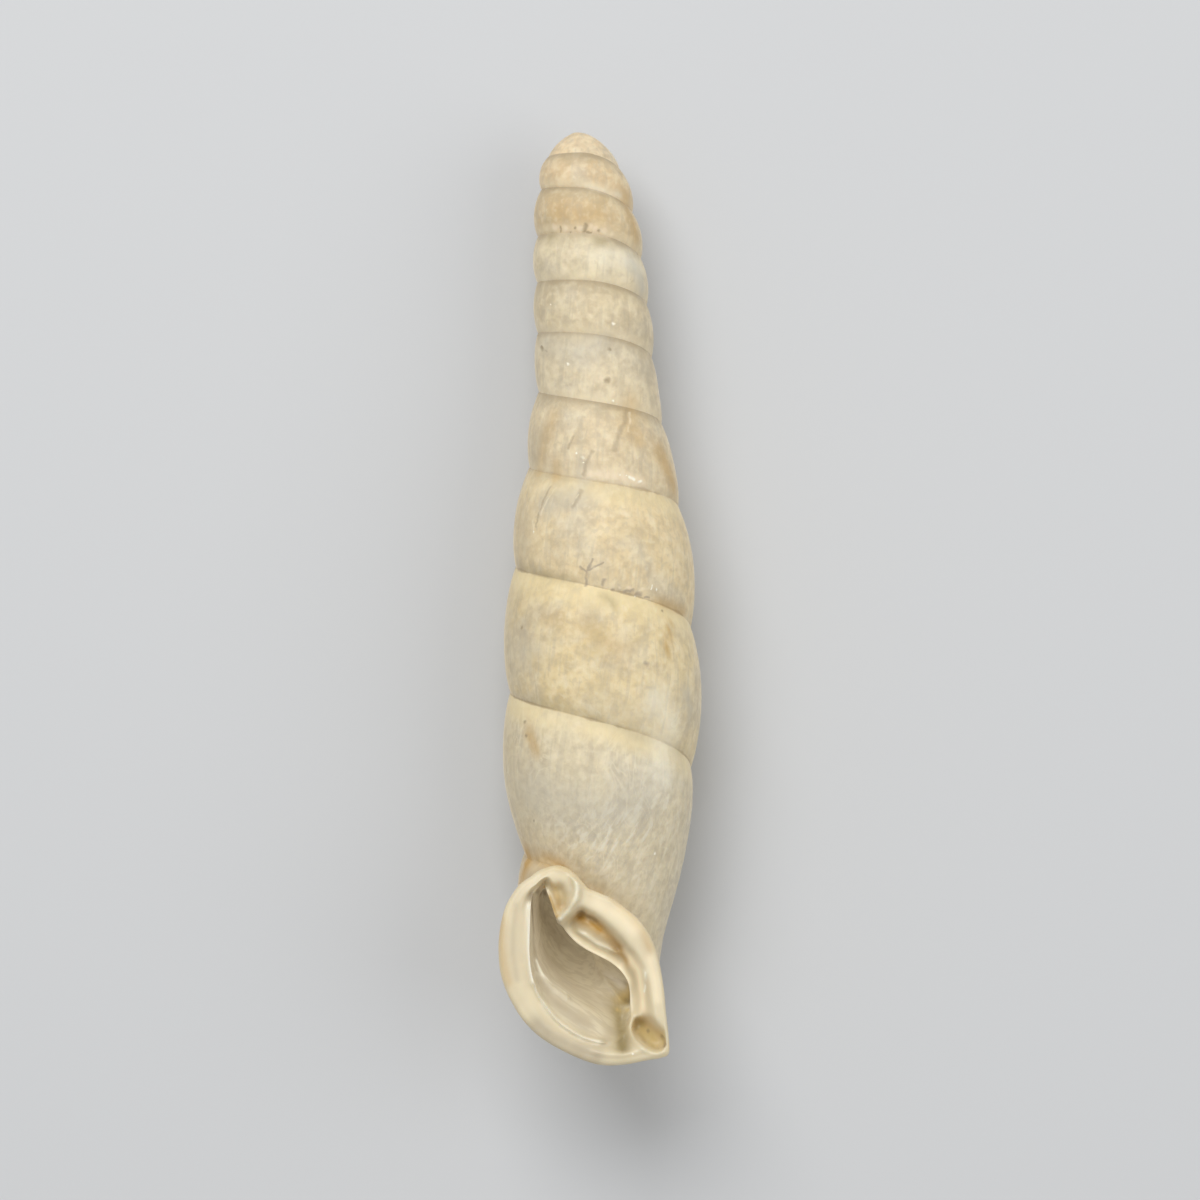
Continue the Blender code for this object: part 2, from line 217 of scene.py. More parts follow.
WHORL_SWELL = (
    (-1.0, 0.0), (-0.5, 0.02), (0.0, 0.10), (1.0, 0.13), (2.0, 0.11), (3.0, 0.10), (4.0, 0.10),
    (5.0, 0.13), (6.0, 0.15), (7.0, 0.20), (8.0, 0.22), (8.5, 0.17), (8.75, 0.30), (9.0, 0.52),
    (9.12, 0.20), (9.25, 0.0),
)
WHORL_HEAD_SHAPE = 0.85
WHORL_FOOT_SHAPE = ((7.8, 0.85), (8.5, 1.70), (9.0, 0.90))

BOW_START = 11.5
BOW_LEFT = 0.54


def rounded_end(reach, rounding):
    """How much of the girth is left this far from an end that is rounded like a ball."""
    return math.sqrt(1.0 - (1.0 - clamp(reach / rounding, 0.0, 1.0)) ** 2)


def seam_radius(depth):
    ends = rounded_end(depth, TIP_ROUNDING) * rounded_end(FOOT_DEPTH - depth, FOOT_ROUNDING)
    return read(SEAM_RADII, depth) * ends


def around(turn, radius, depth):
    """The side, depth and height of a point of the coil."""
    angle = 2.0 * math.pi * turn
    return Vector((-radius * math.cos(angle), depth, radius * math.sin(angle)))


def bow(depth):
    return BOW_LEFT * max(0.0, 1.0 - depth / BOW_START) ** 2


print("the widest seam has a radius of", max(radius for _, radius in SEAM_RADII), "mm")

# %% [markdown]
# ## The seams
#
# The seam between two whorls winds once round the spire in each turn. The photo shows it at the left
# flank, at the front and at the right flank of every whorl, so those places are written down in pixels
# and the camera's line of sight turns them into depths. Round the back the curve joins them up. Under
# the mouth, where nothing of it can be seen, the last turn closes the foot of the shell.

# %% How deep the seam lies at each turn: a row for each whorl, at its left flank, front and right flank
PLACES_SEEN = (0.0, 0.25, 0.5)
SEAMS_SEEN = (
    (157.5, 153.0, 170.4),
    (189.8, 188.0, 213.3),
    (236.7, 233.0, 259.3),
    (282.9, 280.6, 305.2),
    (333.1, 334.0, 357.9),
    (391.5, 402.0, 424.5),
    (466.8, 482.0, 507.2),
    (566.6, 588.0, 627.7),
    (692.2, 722.0, 767.8),
    (855.0,),
)
SEAMS_HIDDEN = ((9.25, 18.30), (9.5, 20.20), (9.75, 21.10), (10.0, 21.42), (10.25, 21.50))
PIXEL = 0.0236
TIP_PIXEL = 134.0


def seam_depth_seen(turn, y):
    """The depth of a seam that the photo shows at this height in pixels."""
    radius = seam_radius((y - TIP_PIXEL) * PIXEL)
    place = around(turn, radius, 0.0)
    return under(PHOTO_SIDE / 2 + place.x / PIXEL, y, place.z).y


SEAM_DEPTHS = [(-1.0, 0.0)]
for number, heights in enumerate(SEAMS_SEEN):
    for part, y in zip(PLACES_SEEN, heights):
        SEAM_DEPTHS.append((number + part, seam_depth_seen(number + part, y)))
SEAM_DEPTHS += SEAMS_HIDDEN
print("seam depths at the left flank:", [round(d, 2) for t, d in SEAM_DEPTHS if t == int(t)])

# %% [markdown]
# ## A sheet that becomes a coil
#
# A shell grows by adding to one long strip that winds round and joins its own edge. The coil is made the
# same way: `create_grid` gives a flat sheet, every point of it is moved to its place on the strip, and
# the doubles along the seam are merged. The sheet's rows crowd together at the seams, so that the crease
# between two whorls stays crisp under smooth shading. Adding a helix with a Screw modifier would be
# shorter, but its radius and pitch can't follow a spire that swells and tapers.

# %% Move a sheet into place and close it
WELD = 0.0005
FIRST_TURN = -2.0
LAST_TURN = 10.25
MOST_CORNERS = 4


def swell_shape(turn, share):
    """The swell across a whorl: 0 at the seam above, 1 at its fullest and 0 at the seam below."""
    head = WHORL_HEAD_SHAPE
    foot = read(WHORL_FOOT_SHAPE, turn)
    fullest = head / (head + foot)
    most = fullest**head * (1.0 - fullest) ** foot
    return share**head * (1.0 - share) ** foot / most


def whorl_radius(turn, depth):
    """The radius of the coil's surface at a turn and a depth within that turn's whorl."""
    top = read(SEAM_DEPTHS, turn)
    foot = read(SEAM_DEPTHS, turn + 1.0)
    share = clamp((depth - top) / max(foot - top, WELD), 0.0, 1.0)
    return seam_radius(depth) + read(WHORL_SWELL, turn) * swell_shape(turn, share)


def coil_point(along, across):
    """A point of the coil: along runs from the tip to the foot, across from one seam to the next."""
    turn = mix(FIRST_TURN, LAST_TURN, along)
    share = 0.5 - 0.5 * math.cos(math.pi * across)
    depth = mix(read(SEAM_DEPTHS, turn), read(SEAM_DEPTHS, turn + 1.0), share)
    point = around(turn, whorl_radius(turn, depth), depth)
    point.x -= bow(depth)
    return point


def close_holes(skin):
    """Fill a skin's open edges, and split every face that has too many corners to bend well."""
    bmesh.ops.holes_fill(skin, edges=[edge for edge in skin.edges if edge.is_boundary], sides=0)
    bmesh.ops.triangulate(skin, faces=[face for face in skin.faces if len(face.verts) > MOST_CORNERS])


def nowhere(along):
    """How far into the mouth a row lies, where a piece has no mouth: not at all."""
    return 0.0


def sheet(columns, rows, place, into_mouth=nowhere):
    """A closed skin: a flat sheet, every point of it moved to its place, with the edges that meet welded."""
    skin = bmesh.new()
    bmesh.ops.create_grid(skin, x_segments=columns, y_segments=rows, size=0.5)
    mouth = skin.verts.layers.float.new("mouth")
    for vert in skin.verts:
        vert[mouth] = into_mouth(vert.co.y + 0.5)
        vert.co = laid(place(vert.co.x + 0.5, vert.co.y + 0.5)) * MM
    bmesh.ops.remove_doubles(skin, verts=skin.verts, dist=WELD * MM)
    bmesh.ops.dissolve_degenerate(skin, edges=skin.edges, dist=WELD * MM)
    close_holes(skin)
    bmesh.ops.recalc_face_normals(skin, faces=skin.faces)
    if skin.calc_volume(signed=True) < 0.0:
        bmesh.ops.reverse_faces(skin, faces=skin.faces)
    return skin


def as_object(name, skin):
    mesh = bpy.data.meshes.new(name)
    skin.to_mesh(mesh)
    skin.free()
    piece = bpy.data.objects.new(name, mesh)
    bpy.context.scene.collection.objects.link(piece)
    return piece


print("the strip winds", LAST_TURN - FIRST_TURN, "times round the axis")

# %% Wind the coil and give it the two flats that it rests on
STEPS_PER_TURN = 96
STEPS_PER_WHORL = 18

coil_skin = sheet(round((LAST_TURN - FIRST_TURN) * STEPS_PER_TURN), STEPS_PER_WHORL, coil_point)
coil_geometry = list(coil_skin.verts) + list(coil_skin.edges) + list(coil_skin.faces)
bmesh.ops.bisect_plane(
    coil_skin, geom=coil_geometry, plane_co=(0.0, 0.0, 0.0), plane_no=(0.0, 0.0, -1.0), clear_outer=True
)
close_holes(coil_skin)
print("coil:", len(coil_skin.verts), "points")
coil = as_object("coil", coil_skin)

# %% [markdown]
# ## The mouth in numbers
#
# The mouth is a pear-shaped opening with a flared, rounded lip. It is drawn as spokes: each joins a
# point of the lip's outer edge to a point of the opening's rim and on to a point of the throat below
# the rim, all read off the photo in pixels, with the height of the last two. Along the foot the throat
# slopes like a funnel. On the right the rim is the free edge of a fold on the pillar, which lies lower
# and is hollow underneath, and at the top it runs round the tongue of the upper tooth.

# %% The mouth, spoke by spoke, from its top down the left, along the foot and up the right
MOUTH_SPOKES = (
    (555, 865.5, 544.0, 884, 1.75, 545, 889, 1.20),
    (540, 870, 541.0, 885, 1.80, 542, 891, 1.20),
    (530, 877, 538.0, 888, 1.88, 540, 894, 1.20),
    (520, 884, 534.5, 892, 1.97, 538, 898, 1.20),
    (511, 896, 532.0, 898, 2.04, 537, 905, 1.05),
    (505, 908, 530.5, 908, 2.08, 536, 913, 1.00),
    (501, 923, 530.0, 924, 2.10, 536.5, 927, 1.00),
    (499, 937, 529.5, 938, 2.10, 537, 940, 1.10),
    (498.5, 952, 529.5, 954, 2.10, 537, 954, 1.28),
    (500, 970, 531.0, 970, 2.10, 541, 967, 1.35),
    (504, 985, 534.0, 983, 2.10, 546, 977, 1.40),
    (510, 999, 538.5, 995, 2.10, 553, 985, 1.40),
    (520, 1016, 545.5, 1006, 2.10, 561, 991, 1.40),
    (530, 1028, 553.5, 1017, 2.10, 569, 997, 1.40),
    (540, 1037, 562.0, 1025, 2.10, 577, 1002, 1.40),
    (552, 1045, 571.0, 1031, 2.10, 584, 1006, 1.38),
    (567, 1053, 582.0, 1037, 2.09, 591, 1010, 1.35),
    (583, 1060, 593.0, 1041, 2.06, 598, 1014, 1.30),
    (598, 1064.5, 602.0, 1043, 2.02, 605, 1017, 1.20),
    (612, 1065.5, 610.0, 1043, 1.96, 611, 1018, 1.10),
    (629, 1064, 617.0, 1041, 1.86, 616, 1017, 1.00),
    (646, 1060.5, 623.0, 1036, 1.76, 620, 1015, 0.90),
    (661, 1058, 627.5, 1028, 1.66, 623, 1011, 0.80),
    (669, 1053, 630.5, 1017, 1.56, 625, 1005, 0.75),
    (668.5, 1035, 630.0, 1003, 1.40, 628, 999, 0.55),
    (666, 1012, 629.5, 990, 1.30, 633, 989, 0.50),
    (664, 990, 627.0, 980, 1.28, 635, 978, 0.55),
    (660.5, 968, 620.0, 970, 1.30, 629, 967, 0.80),
    (656, 950, 611.0, 962.5, 1.33, 621, 957, 0.80),
    (649, 934, 600.0, 956.5, 1.37, 610, 949, 0.85),
    (638, 919, 588.0, 950.5, 1.40, 598, 942, 0.90),
    (625, 908, 578.0, 944, 1.42, 588, 934, 0.95),
    (613, 899, 571.0, 937.5, 1.43, 580, 927, 1.00),
    (603, 894.5, 565.5, 931, 1.46, 574, 920, 1.10),
    (595, 891, 562.0, 926.5, 1.66, 569, 914, 1.20),
    (588, 888, 558.0, 923.5, 1.92, 565, 908, 1.30),
    (581, 880, 554.5, 915, 1.92, 561, 902, 1.30),
    (573, 872, 551.0, 904, 1.90, 556, 896, 1.30),
    (565, 867, 547.0, 893, 1.84, 551, 891, 1.25),
)
STEPS_ROUND_MOUTH = 216
CURVE_STEPS = 24
LIP_EDGE_HEIGHT = 2.02
LIP_CREST_HEIGHT = 2.18
LIP_EDGE_RADIUS = 0.13
CREST_LEFT = 0.50
CREST_RIGHT = 0.80
CREST_SHIFT = 1.2


def ring_through(points, count):
    """Points at even steps round the closed smooth curve through some points, starting at the first."""
    size = len(points)
    curve = []
    for i in range(size * CURVE_STEPS + 1):
        k, share = divmod(i / CURVE_STEPS, 1.0)
        a, b, c, d = (points[(int(k) + j) % size] for j in (-1, 0, 1, 2))
        bend = (2.0 * a - 5.0 * b + 4.0 * c - d) * share**2 + (3.0 * b - a - 3.0 * c + d) * share**3
        curve.append(b + (c - a) * share * 0.5 + bend * 0.5)
    reach = [0.0]
    for p, q in zip(curve, curve[1:]):
        reach.append(reach[-1] + (q - p).length)
    ring = []
    k = 0
    for i in range(count):
        at = reach[-1] * i / count
        while reach[k + 1] < at:
            k += 1
        ring.append(curve[k].lerp(curve[k + 1], (at - reach[k]) / (reach[k + 1] - reach[k])))
    return ring


spokes = []
for edge_x, edge_y, rim_x, rim_y, rim_height, throat_x, throat_y, throat_height in MOUTH_SPOKES:
    lip_place = under(edge_x, edge_y, LIP_EDGE_HEIGHT)
    rim_place = under(rim_x, rim_y, rim_height)
    throat_place = under(throat_x, throat_y, throat_height)
    spokes.append(Vector((*lip_place, *rim_place, *throat_place)))
fine_spokes = ring_through(spokes, STEPS_ROUND_MOUTH)
lip_edge = [Vector(spoke[0:3]) for spoke in fine_spokes]
rim = [Vector(spoke[3:6]) for spoke in fine_spokes]
throat = [Vector(spoke[6:9]) for spoke in fine_spokes]
outward = [Vector((p.x - q.x, p.y - q.y, 0.0)).normalized() for p, q in zip(lip_edge, rim)]
widths, depths = [p.x for p in lip_edge], [p.y for p in lip_edge]
mouth_size = [round(max(span) - min(span), 2) for span in (widths, depths)]
print("the mouth is", mouth_size[0], "mm wide and", mouth_size[1], "mm high")

# %% [markdown]
# ## Relief inside the mouth
#
# The teeth and folds of a door snail are ridges of shell that run on into the mouth. Each is drawn as a
# stroke: a route in the photo's pixels, with a half width and a height. A point near the route is raised
# by that height and a point further off by less, as a fingertip would push up a sheet of wax. A height
# below zero makes a hollow.

# %% The strokes that shape the lip and the inside of the mouth: half width, height, sharpness, route
MOUTH_STROKES = {
    "bead round the opening": (
        3.0, 0.07, 2,
        (543, 886), (536, 892), (532, 898), (530.5, 910), (530, 930), (529.5, 952), (531, 971), (534, 984),
    ),
    "bead along the foot": (
        2.2, 0.09, 2,
        (534, 984), (539, 995), (546, 1006), (554, 1017), (563, 1025), (574, 1033), (588, 1039), (603, 1042),
    ),
    "dish of the lip": (
        6.0, -0.05, 2,
        (528, 902), (522, 915), (520, 935), (519, 955), (522, 975), (530, 996), (546, 1018), (566, 1036),
        (590, 1048),
    ),
    "recess above the pillar fold": (
        8.0, -0.28, 2,
        (581, 920), (590, 925), (600, 933), (611, 942), (619, 950), (624, 957),
    ),
    "upper wall of the recess": (4.5, -0.24, 2, (581, 914), (591, 918), (601, 926), (611, 935), (620, 946)),
    "upper crest of the pillar fold": (
        2.4, 0.10, 2,
        (577, 931), (586, 936), (597, 944), (608, 948), (616, 952),
    ),
    "groove along the pillar fold": (2.0, -0.05, 2, (574, 935), (584, 943), (594, 949), (604, 954)),
    "step under the upper tooth": (3.2, -0.16, 2, (570, 922), (576, 917), (582, 912)),
    "back of the upper tooth": (4.0, 0.22, 2, (575, 878), (577.5, 889), (576, 899), (569, 910), (562, 919)),
    "left edge of the upper tooth": (2.4, 0.10, 2, (546, 889), (551, 902), (555, 915), (559, 921)),
    "bowl of the upper tooth": (5.5, -0.24, 2, (560, 890), (563, 897), (563, 906)),
    "pit in the lower corner": (11.0, -0.42, 4, (644, 1028), (655, 1040)),
    "furrow beside the pit": (5.0, -0.16, 2, (622, 1020), (623, 1032), (624, 1047)),
    "rim of the pit": (
        2.4, 0.08, 2,
        (640, 1015), (634, 1016), (631, 1028), (634, 1040), (642, 1048), (652, 1053), (661, 1054),
        (666, 1046),
    ),
    "ridge within the mouth": (
        2.8, 0.15, 2,
        (536, 950), (538, 962), (543, 973), (550, 983), (560, 991), (568, 996),
    ),
}
STROKE_HEIGHT = 1.9
STROKE_REACH = 12.0
UP = Vector((0.0, 0.0, 1.0))

RELIEF = []
for width, height, sharpness, *route in MOUTH_STROKES.values():
    flat_route = [under(x, y, STROKE_HEIGHT).to_2d() for x, y in route]
    RELIEF.append((flat_route, width * PIXEL, height, sharpness))


def nearness(point, route):
    """How far a point is from a route, seen from the front."""
    best = math.inf
    for a, b in zip(route, route[1:]):
        way = b - a
        share = clamp((point - a).dot(way) / way.length_squared, 0.0, 1.0)
        best = min(best, (point - a - way * share).length)
    return best


def stroked(point):
    """A point of the mouth with the strokes' relief on it."""
    flat = point.to_2d()
    lift = 0.0
    for route, width, height, sharpness in RELIEF:
        if min((flat - corner).length for corner in route) < STROKE_REACH * width:
            lift += height * math.exp(-((nearness(flat, route) / width) ** sharpness))
    return point + UP * lift


print(len(RELIEF), "strokes shape the mouth")

# %% [markdown]
# ## The last whorl as a tube
#
# Inside the last whorl the shell is a tube: a thin wall round the room where the snail lived. Its outline
# is taken at a few turns, a little inside the coil's own surface, with a rounded flank on the outside and
# a slanting pillar side next to the axis. From the last of these outlines a smooth curve runs along every
# spoke to the lip, once for the outside and once for the inside.

# %% The tube's outline, and the curves that join it to the lip
TUBE_START = 8.3
TUBE_END = 9.0
WALL_WITHIN = ((8.3, 0.60), (8.75, 0.80), (9.0, 0.50))
WALL_ROUNDING = 9
FOOT_WEDGE = 3.0
PILLAR_RUN = 3.0
PILLAR_WALL = 0.5
PILLAR_LEAN = 0.55
LEAN_START = 18.2
LEAN_RUN = 1.8
LEAST_PILLAR = 0.06
LEAST_HALF_WIDTH = 0.04
TUBE_SINK = ((8.3, 0.08), (8.85, 0.06), (9.0, -0.04))
TUBE_CLEARANCE = 0.12
TOP_WEDGE = 1.2
TUBE_SQUARENESS = 0.6
OUTLINE_STEPS = 120


def tube_ring(turn, inset):
    """The tube's outline at a turn, this far inside the whorl's surface."""
    top = read(SEAM_DEPTHS, turn)
    first = top + TUBE_CLEARANCE + inset * TOP_WEDGE
    last = read(SEAM_DEPTHS, turn + 1.0) - TUBE_CLEARANCE - inset * FOOT_WEDGE
    outline = []
    for i in range(OUTLINE_STEPS):
        angle = 2.0 * math.pi * i / OUTLINE_STEPS
        depth = mix(first, last, 0.5 - 0.5 * math.cos(angle))
        lean = PILLAR_LEAN * ease((depth - LEAN_START) / LEAN_RUN)
        flank = whorl_radius(turn, depth) - inset + lean * math.cos(2.0 * math.pi * turn)
        pillar = seam_radius(top) * (1.0 - (depth - top) / PILLAR_RUN)
        pillar = max(LEAST_PILLAR, pillar) + inset * PILLAR_WALL
        half = max(0.5 * (flank - pillar), LEAST_HALF_WIDTH)
        bulge = math.copysign(abs(math.sin(angle)) ** TUBE_SQUARENESS, math.sin(angle))
        outline.append(around(turn, flank - half + half * bulge, depth) + Vector((lean, 0.0, 0.0)))
    return ring_through(outline, STEPS_ROUND_MOUTH)


def curve_between(start, leave, end, arrive, share):
    """A point of the smooth curve that leaves its start and arrives at its end with these pulls."""
    a = 2.0 * share**3 - 3.0 * share**2 + 1.0
    b = share**3 - 2.0 * share**2 + share
    c = 3.0 * share**2 - 2.0 * share**3
    d = share**3 - share**2
    return start * a + leave * b + end * c + arrive * d


print("the tube runs from turn", TUBE_START, "to turn", TUBE_END)

# %% Rings from the tube's outside over the lip and down the throat to its inside
RIGHTWARD = 0.65
NECK_PULL = 2.4
NECK_PULL_RIGHT = 0.24
PILLAR_PULL = 2.0
FLARE_PULL = 1.0
FLARE_RIGHT = 0.3
THROAT_PULL = 0.8
THROAT_LEAN = 0.5
RIM_PULL = 0.9
RIM_PULL_RIGHT = 0.2
ROOM_UNDER_FOLD = 0.5
RIM_UNDERCUT = 0.5
FURROW_SLOPE = 0.8
FURROW_AT = under(618, 1036, STROKE_HEIGHT).to_2d()
FURROW_REACH = 0.45

around_mouth = range(STEPS_ROUND_MOUTH)
turned_in = [lip_edge[i] - outward[i] * LIP_EDGE_RADIUS for i in around_mouth]
right = [ease(outward[i].x / RIGHTWARD) for i in around_mouth]
furrow = [math.exp(-(((rim[i].to_2d() - FURROW_AT).length / FURROW_REACH) ** 2)) for i in around_mouth]


def neck_ring(start, share):
    """The outside of the neck, from the tube's outline at 0 to just under the lip's edge at 1."""
    ring = []
    for i in around_mouth:
        end = turned_in[i] - UP * LIP_EDGE_RADIUS
        leave = UP * mix(NECK_PULL, NECK_PULL_RIGHT, right[i]) + outward[i] * PILLAR_PULL * right[i]
        arrive = (outward[i] * mix(1.0, FLARE_RIGHT, right[i]) + UP * right[i]) * FLARE_PULL
        ring.append(curve_between(start[i], leave, end, arrive, share))
    return ring


def edge_ring(angle):
    """The rounded edge of the lip, from its underside over its outermost line to its front."""
    return [
        turned_in[i] + (outward[i] * math.cos(angle) + UP * math.sin(angle)) * LIP_EDGE_RADIUS
        for i in around_mouth
    ]


def lip_ring(share):
    """The lip's front, from the rim of the opening at 0 to where the edge rounds over at 1."""
    ring = []
    for i in around_mouth:
        point = rim[i].lerp(lip_edge[i] - outward[i] * LIP_EDGE_RADIUS, share)
        crest = mix(CREST_LEFT, CREST_RIGHT, ease(0.5 + rim[i].x / CREST_SHIFT))
        if share < crest:
            point.z = mix(rim[i].z, LIP_CREST_HEIGHT, ease(share / crest))
        else:
            fall = ease((share - crest) / (1.0 - crest))
            point.z = mix(LIP_CREST_HEIGHT, LIP_EDGE_HEIGHT + LIP_EDGE_RADIUS, fall)
        ring.append(stroked(point))
    return ring


def throat_ring(start, share):
    """The inside of the mouth: the tube's inner outline at 0, the throat at a half and the rim at 1."""
    ring = []
    for i in around_mouth:
        leave = UP * THROAT_PULL + outward[i] * ROOM_UNDER_FOLD * right[i]
        past = (rim[i] - start[i]) * THROAT_LEAN
        arrive = UP * mix(RIM_PULL, RIM_PULL_RIGHT, right[i]) - outward[i] * RIM_UNDERCUT * right[i]
        arrive = arrive.lerp(outward[i] * FURROW_SLOPE + UP * FURROW_SLOPE, furrow[i])
        if share < 0.5:
            plain = curve_between(start[i], leave, throat[i], past, 2.0 * share)
        else:
            plain = curve_between(throat[i], past, rim[i], arrive, 2.0 * share - 1.0)
        ring.append(plain.lerp(stroked(plain), ease(share * 2.0)))
    return ring


print(sum(share > 0.5 for share in right), "of", STEPS_ROUND_MOUTH, "spokes leave to the right")

# %% Close the rings into a skin and shape the tube
TUBE_STEPS = 24
NECK_STEPS = 24
EDGE_STEPS = 8
LIP_STEPS = 34
THROAT_STEPS = 30
ROOM_STEPS = 40
ROOM_BEFORE_LIP = 1.0
EVENED_BEFORE = 13
EVENED_PAST = 12
MOST_EVENED = 6


def rounded_off(ring):
    """A ring with rounded corners: each point becomes the mean of its neighbours on both sides."""
    window = range(-WALL_ROUNDING, WALL_ROUNDING + 1)
    size = len(ring)
    return [sum((ring[(i + k) % size] for k in window), Vector()) / len(window) for i in range(size)]


def evened(rings, first, last):
    """The rings, with those from the first to the last blended with their neighbours, most in the middle."""
    blended = list(rings)
    for k in range(first, last):
        width = min(k - first, last - 1 - k, MOST_EVENED)
        near = rings[k - width : k + width + 1]
        blended[k] = [sum((ring[i] for ring in near), Vector()) / len(near) for i in around_mouth]
    return blended


turns = [mix(TUBE_START, TUBE_END, k / TUBE_STEPS) for k in range(TUBE_STEPS + 1)]
outer = [tube_ring(turn, read(TUBE_SINK, turn)) for turn in turns]
lumen = [rounded_off(tube_ring(turn, read(WALL_WITHIN, turn))) for turn in turns]
midway = [tube_ring(turn, 0.5 * (read(TUBE_SINK, turn) + read(WALL_WITHIN, turn))) for turn in turns]

outside = outer[:-1] + [neck_ring(outer[-1], k / NECK_STEPS) for k in range(NECK_STEPS + 1)]
over = [edge_ring(math.pi * (k / EDGE_STEPS - 0.5)) for k in range(1, EDGE_STEPS)]
front = [lip_ring(1.0 - k / LIP_STEPS) for k in range(LIP_STEPS + 1)]
inside = [throat_ring(lumen[-1], 1.0 - k / THROAT_STEPS) for k in range(1, THROAT_STEPS + 1)]
inner = evened(inside + lumen[-2:0:-1], THROAT_STEPS - EVENED_BEFORE, THROAT_STEPS + EVENED_PAST)
tube_rings = outside + over + front + inner

room_rings = midway[1:]
for k in range(1, ROOM_STEPS + 1):
    share = k / ROOM_STEPS
    facing = throat_ring(lumen[-1], 2.0 * share) if share <= 0.5 else lip_ring(2.0 * share - 1.0)
    room_rings.append([p.lerp(q, 0.5) for p, q in zip(neck_ring(outer[-1], share), facing)])
room_rings.append([point + UP * ROOM_BEFORE_LIP for point in room_rings[-1]])


def skin_of_rings(name, rings, into_mouth):
    """A closed skin through rings that follow one another."""

    def place(around_share, along_share):
        ring = rings[round(along_share * (len(rings) - 1))]
        return ring[round(around_share * len(ring)) % len(ring)]

    return as_object(name, sheet(STEPS_ROUND_MOUTH, len(rings) - 1, place, into_mouth))


def into_mouth(along):
    """Where a ring of the tube lies: 0 outside, 1 on the lip's front, and up to 2 at the throat's end."""
    ring = along * (len(tube_rings) - 1)
    over_edge = clamp((ring - len(outside) + 1) / len(over), 0.0, 1.0)
    return over_edge + clamp((ring - len(outside + over + front) + 1) / THROAT_STEPS, 0.0, 1.0)


tube = skin_of_rings("tube", tube_rings, into_mouth)
room = skin_of_rings("room for the tube", room_rings, nowhere)
print("tube:", len(tube.data.vertices), "points, room:", len(room.data.vertices), "points")

# %% [markdown]
# ## One skin from coil and tube
#
# The coil is solid so far, and the mouth would open onto solid shell. A Boolean takes the tube's room out
# of it, and a second one joins the tube to what is left. The coil and the tube carry different material
# numbers, so that the result shows where the one passes into the other. A list of all their points is made
# first, so that every point of the result can look up what it came from.

# %% Make room in the coil and join the tube to it
ivory = bpy.data.materials.new("shell ivory")
for piece in (coil, tube, room):
    piece.data.materials.append(ivory)
    piece.data.materials.append(ivory)
for piece in (tube, room):
    piece.data.polygons.foreach_set("material_index", [1] * len(piece.data.polygons))


def combine(piece, operation, other):
    modifier = piece.modifiers.new(other.name, "BOOLEAN")
    modifier.operation = operation
    modifier.object = other


combine(coil, "DIFFERENCE", room)
combine(coil, "UNION", tube)
bpy.context.view_layer.update()
joined = bpy.data.meshes.new_from_object(coil.evaluated_get(bpy.context.evaluated_depsgraph_get()))
origins = [(vert.co.copy(), 1.0, 0.0) for vert in coil.data.vertices]
for vert, value in zip(tube.data.vertices, tube.data.attributes["mouth"].data):
    origins.append((vert.co.copy(), 0.0, value.value))
for helper in (coil, tube, room):
    bpy.data.objects.remove(helper, do_unlink=True)
print("the joined skin has", len(joined.polygons), "faces")

# %% [markdown]
# ## The join between the neck and the whorl, and the tip
#
# On the real shell the neck grows out of the last whorl without a step. Where coil and tube meet at a
# shallow angle, the points near the join are smoothed. Where they meet steeply there is a real crease, and
# it is left sharp. The first whorl and a half are a plain dome, so the tip is smoothed too, in rounds that
# each reach a little less far down, so that the smoothing has no edge of its own.

# %% Smooth the shallow parts of the join, and the tip
SHALLOW = math.radians(40.0)
JOIN_REACH = 0.16
JOIN_LOWEST = 2.0
JOIN_ROUNDS = 12
TIP_REACH = 0.60
TIP_STEP = 0.015
TIP_ROUNDS = 30


def tree_of(points):
    """A tree in which the nearest of many points is found fast."""
    tree = KDTree(len(points))
    for i, point in enumerate(points):
        tree.insert(point, i)
    tree.balance()
    return tree


def smooth(skin, verts):
    """Move points halfway to the mean of their neighbours."""
    bmesh.ops.smooth_vert(skin, verts=verts, factor=0.5, use_axis_x=True, use_axis_y=True, use_axis_z=True)


skin = bmesh.new()
skin.from_mesh(joined)
join_points = []
for edge in skin.edges:
    if len(edge.link_faces) == 2 and edge.link_faces[0].material_index != edge.link_faces[1].material_index:
        if edge.calc_face_angle() < SHALLOW:
            join_points.append((edge.verts[0].co + edge.verts[1].co) / 2.0)
join_tree = tree_of(join_points)
near_join = [vert for vert in skin.verts if join_tree.find(vert.co)[2] < JOIN_REACH * MM]
near_join = [vert for vert in near_join if vert.co.z > JOIN_LOWEST * MM]
for k in range(TIP_ROUNDS):
    reach = TIP_REACH - TIP_STEP * k
    smooth(skin, [vert for vert in skin.verts if vert.co.y > (MIDDLE_DEPTH - reach) * MM])
for _ in range(JOIN_ROUNDS):
    smooth(skin, near_join)
for face in skin.faces:
    face.smooth = True
    face.material_index = 0
skin.to_mesh(joined)
skin.free()
joined.materials.clear()
joined.materials.append(ivory)
snail_shell = bpy.data.objects.new("snail_shell", joined)
bpy.context.scene.collection.objects.link(snail_shell)
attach(snail_shell, "root")
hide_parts("shell")
print(len(near_join), "points smoothed beside", len(join_points), "shallow edges of the join")
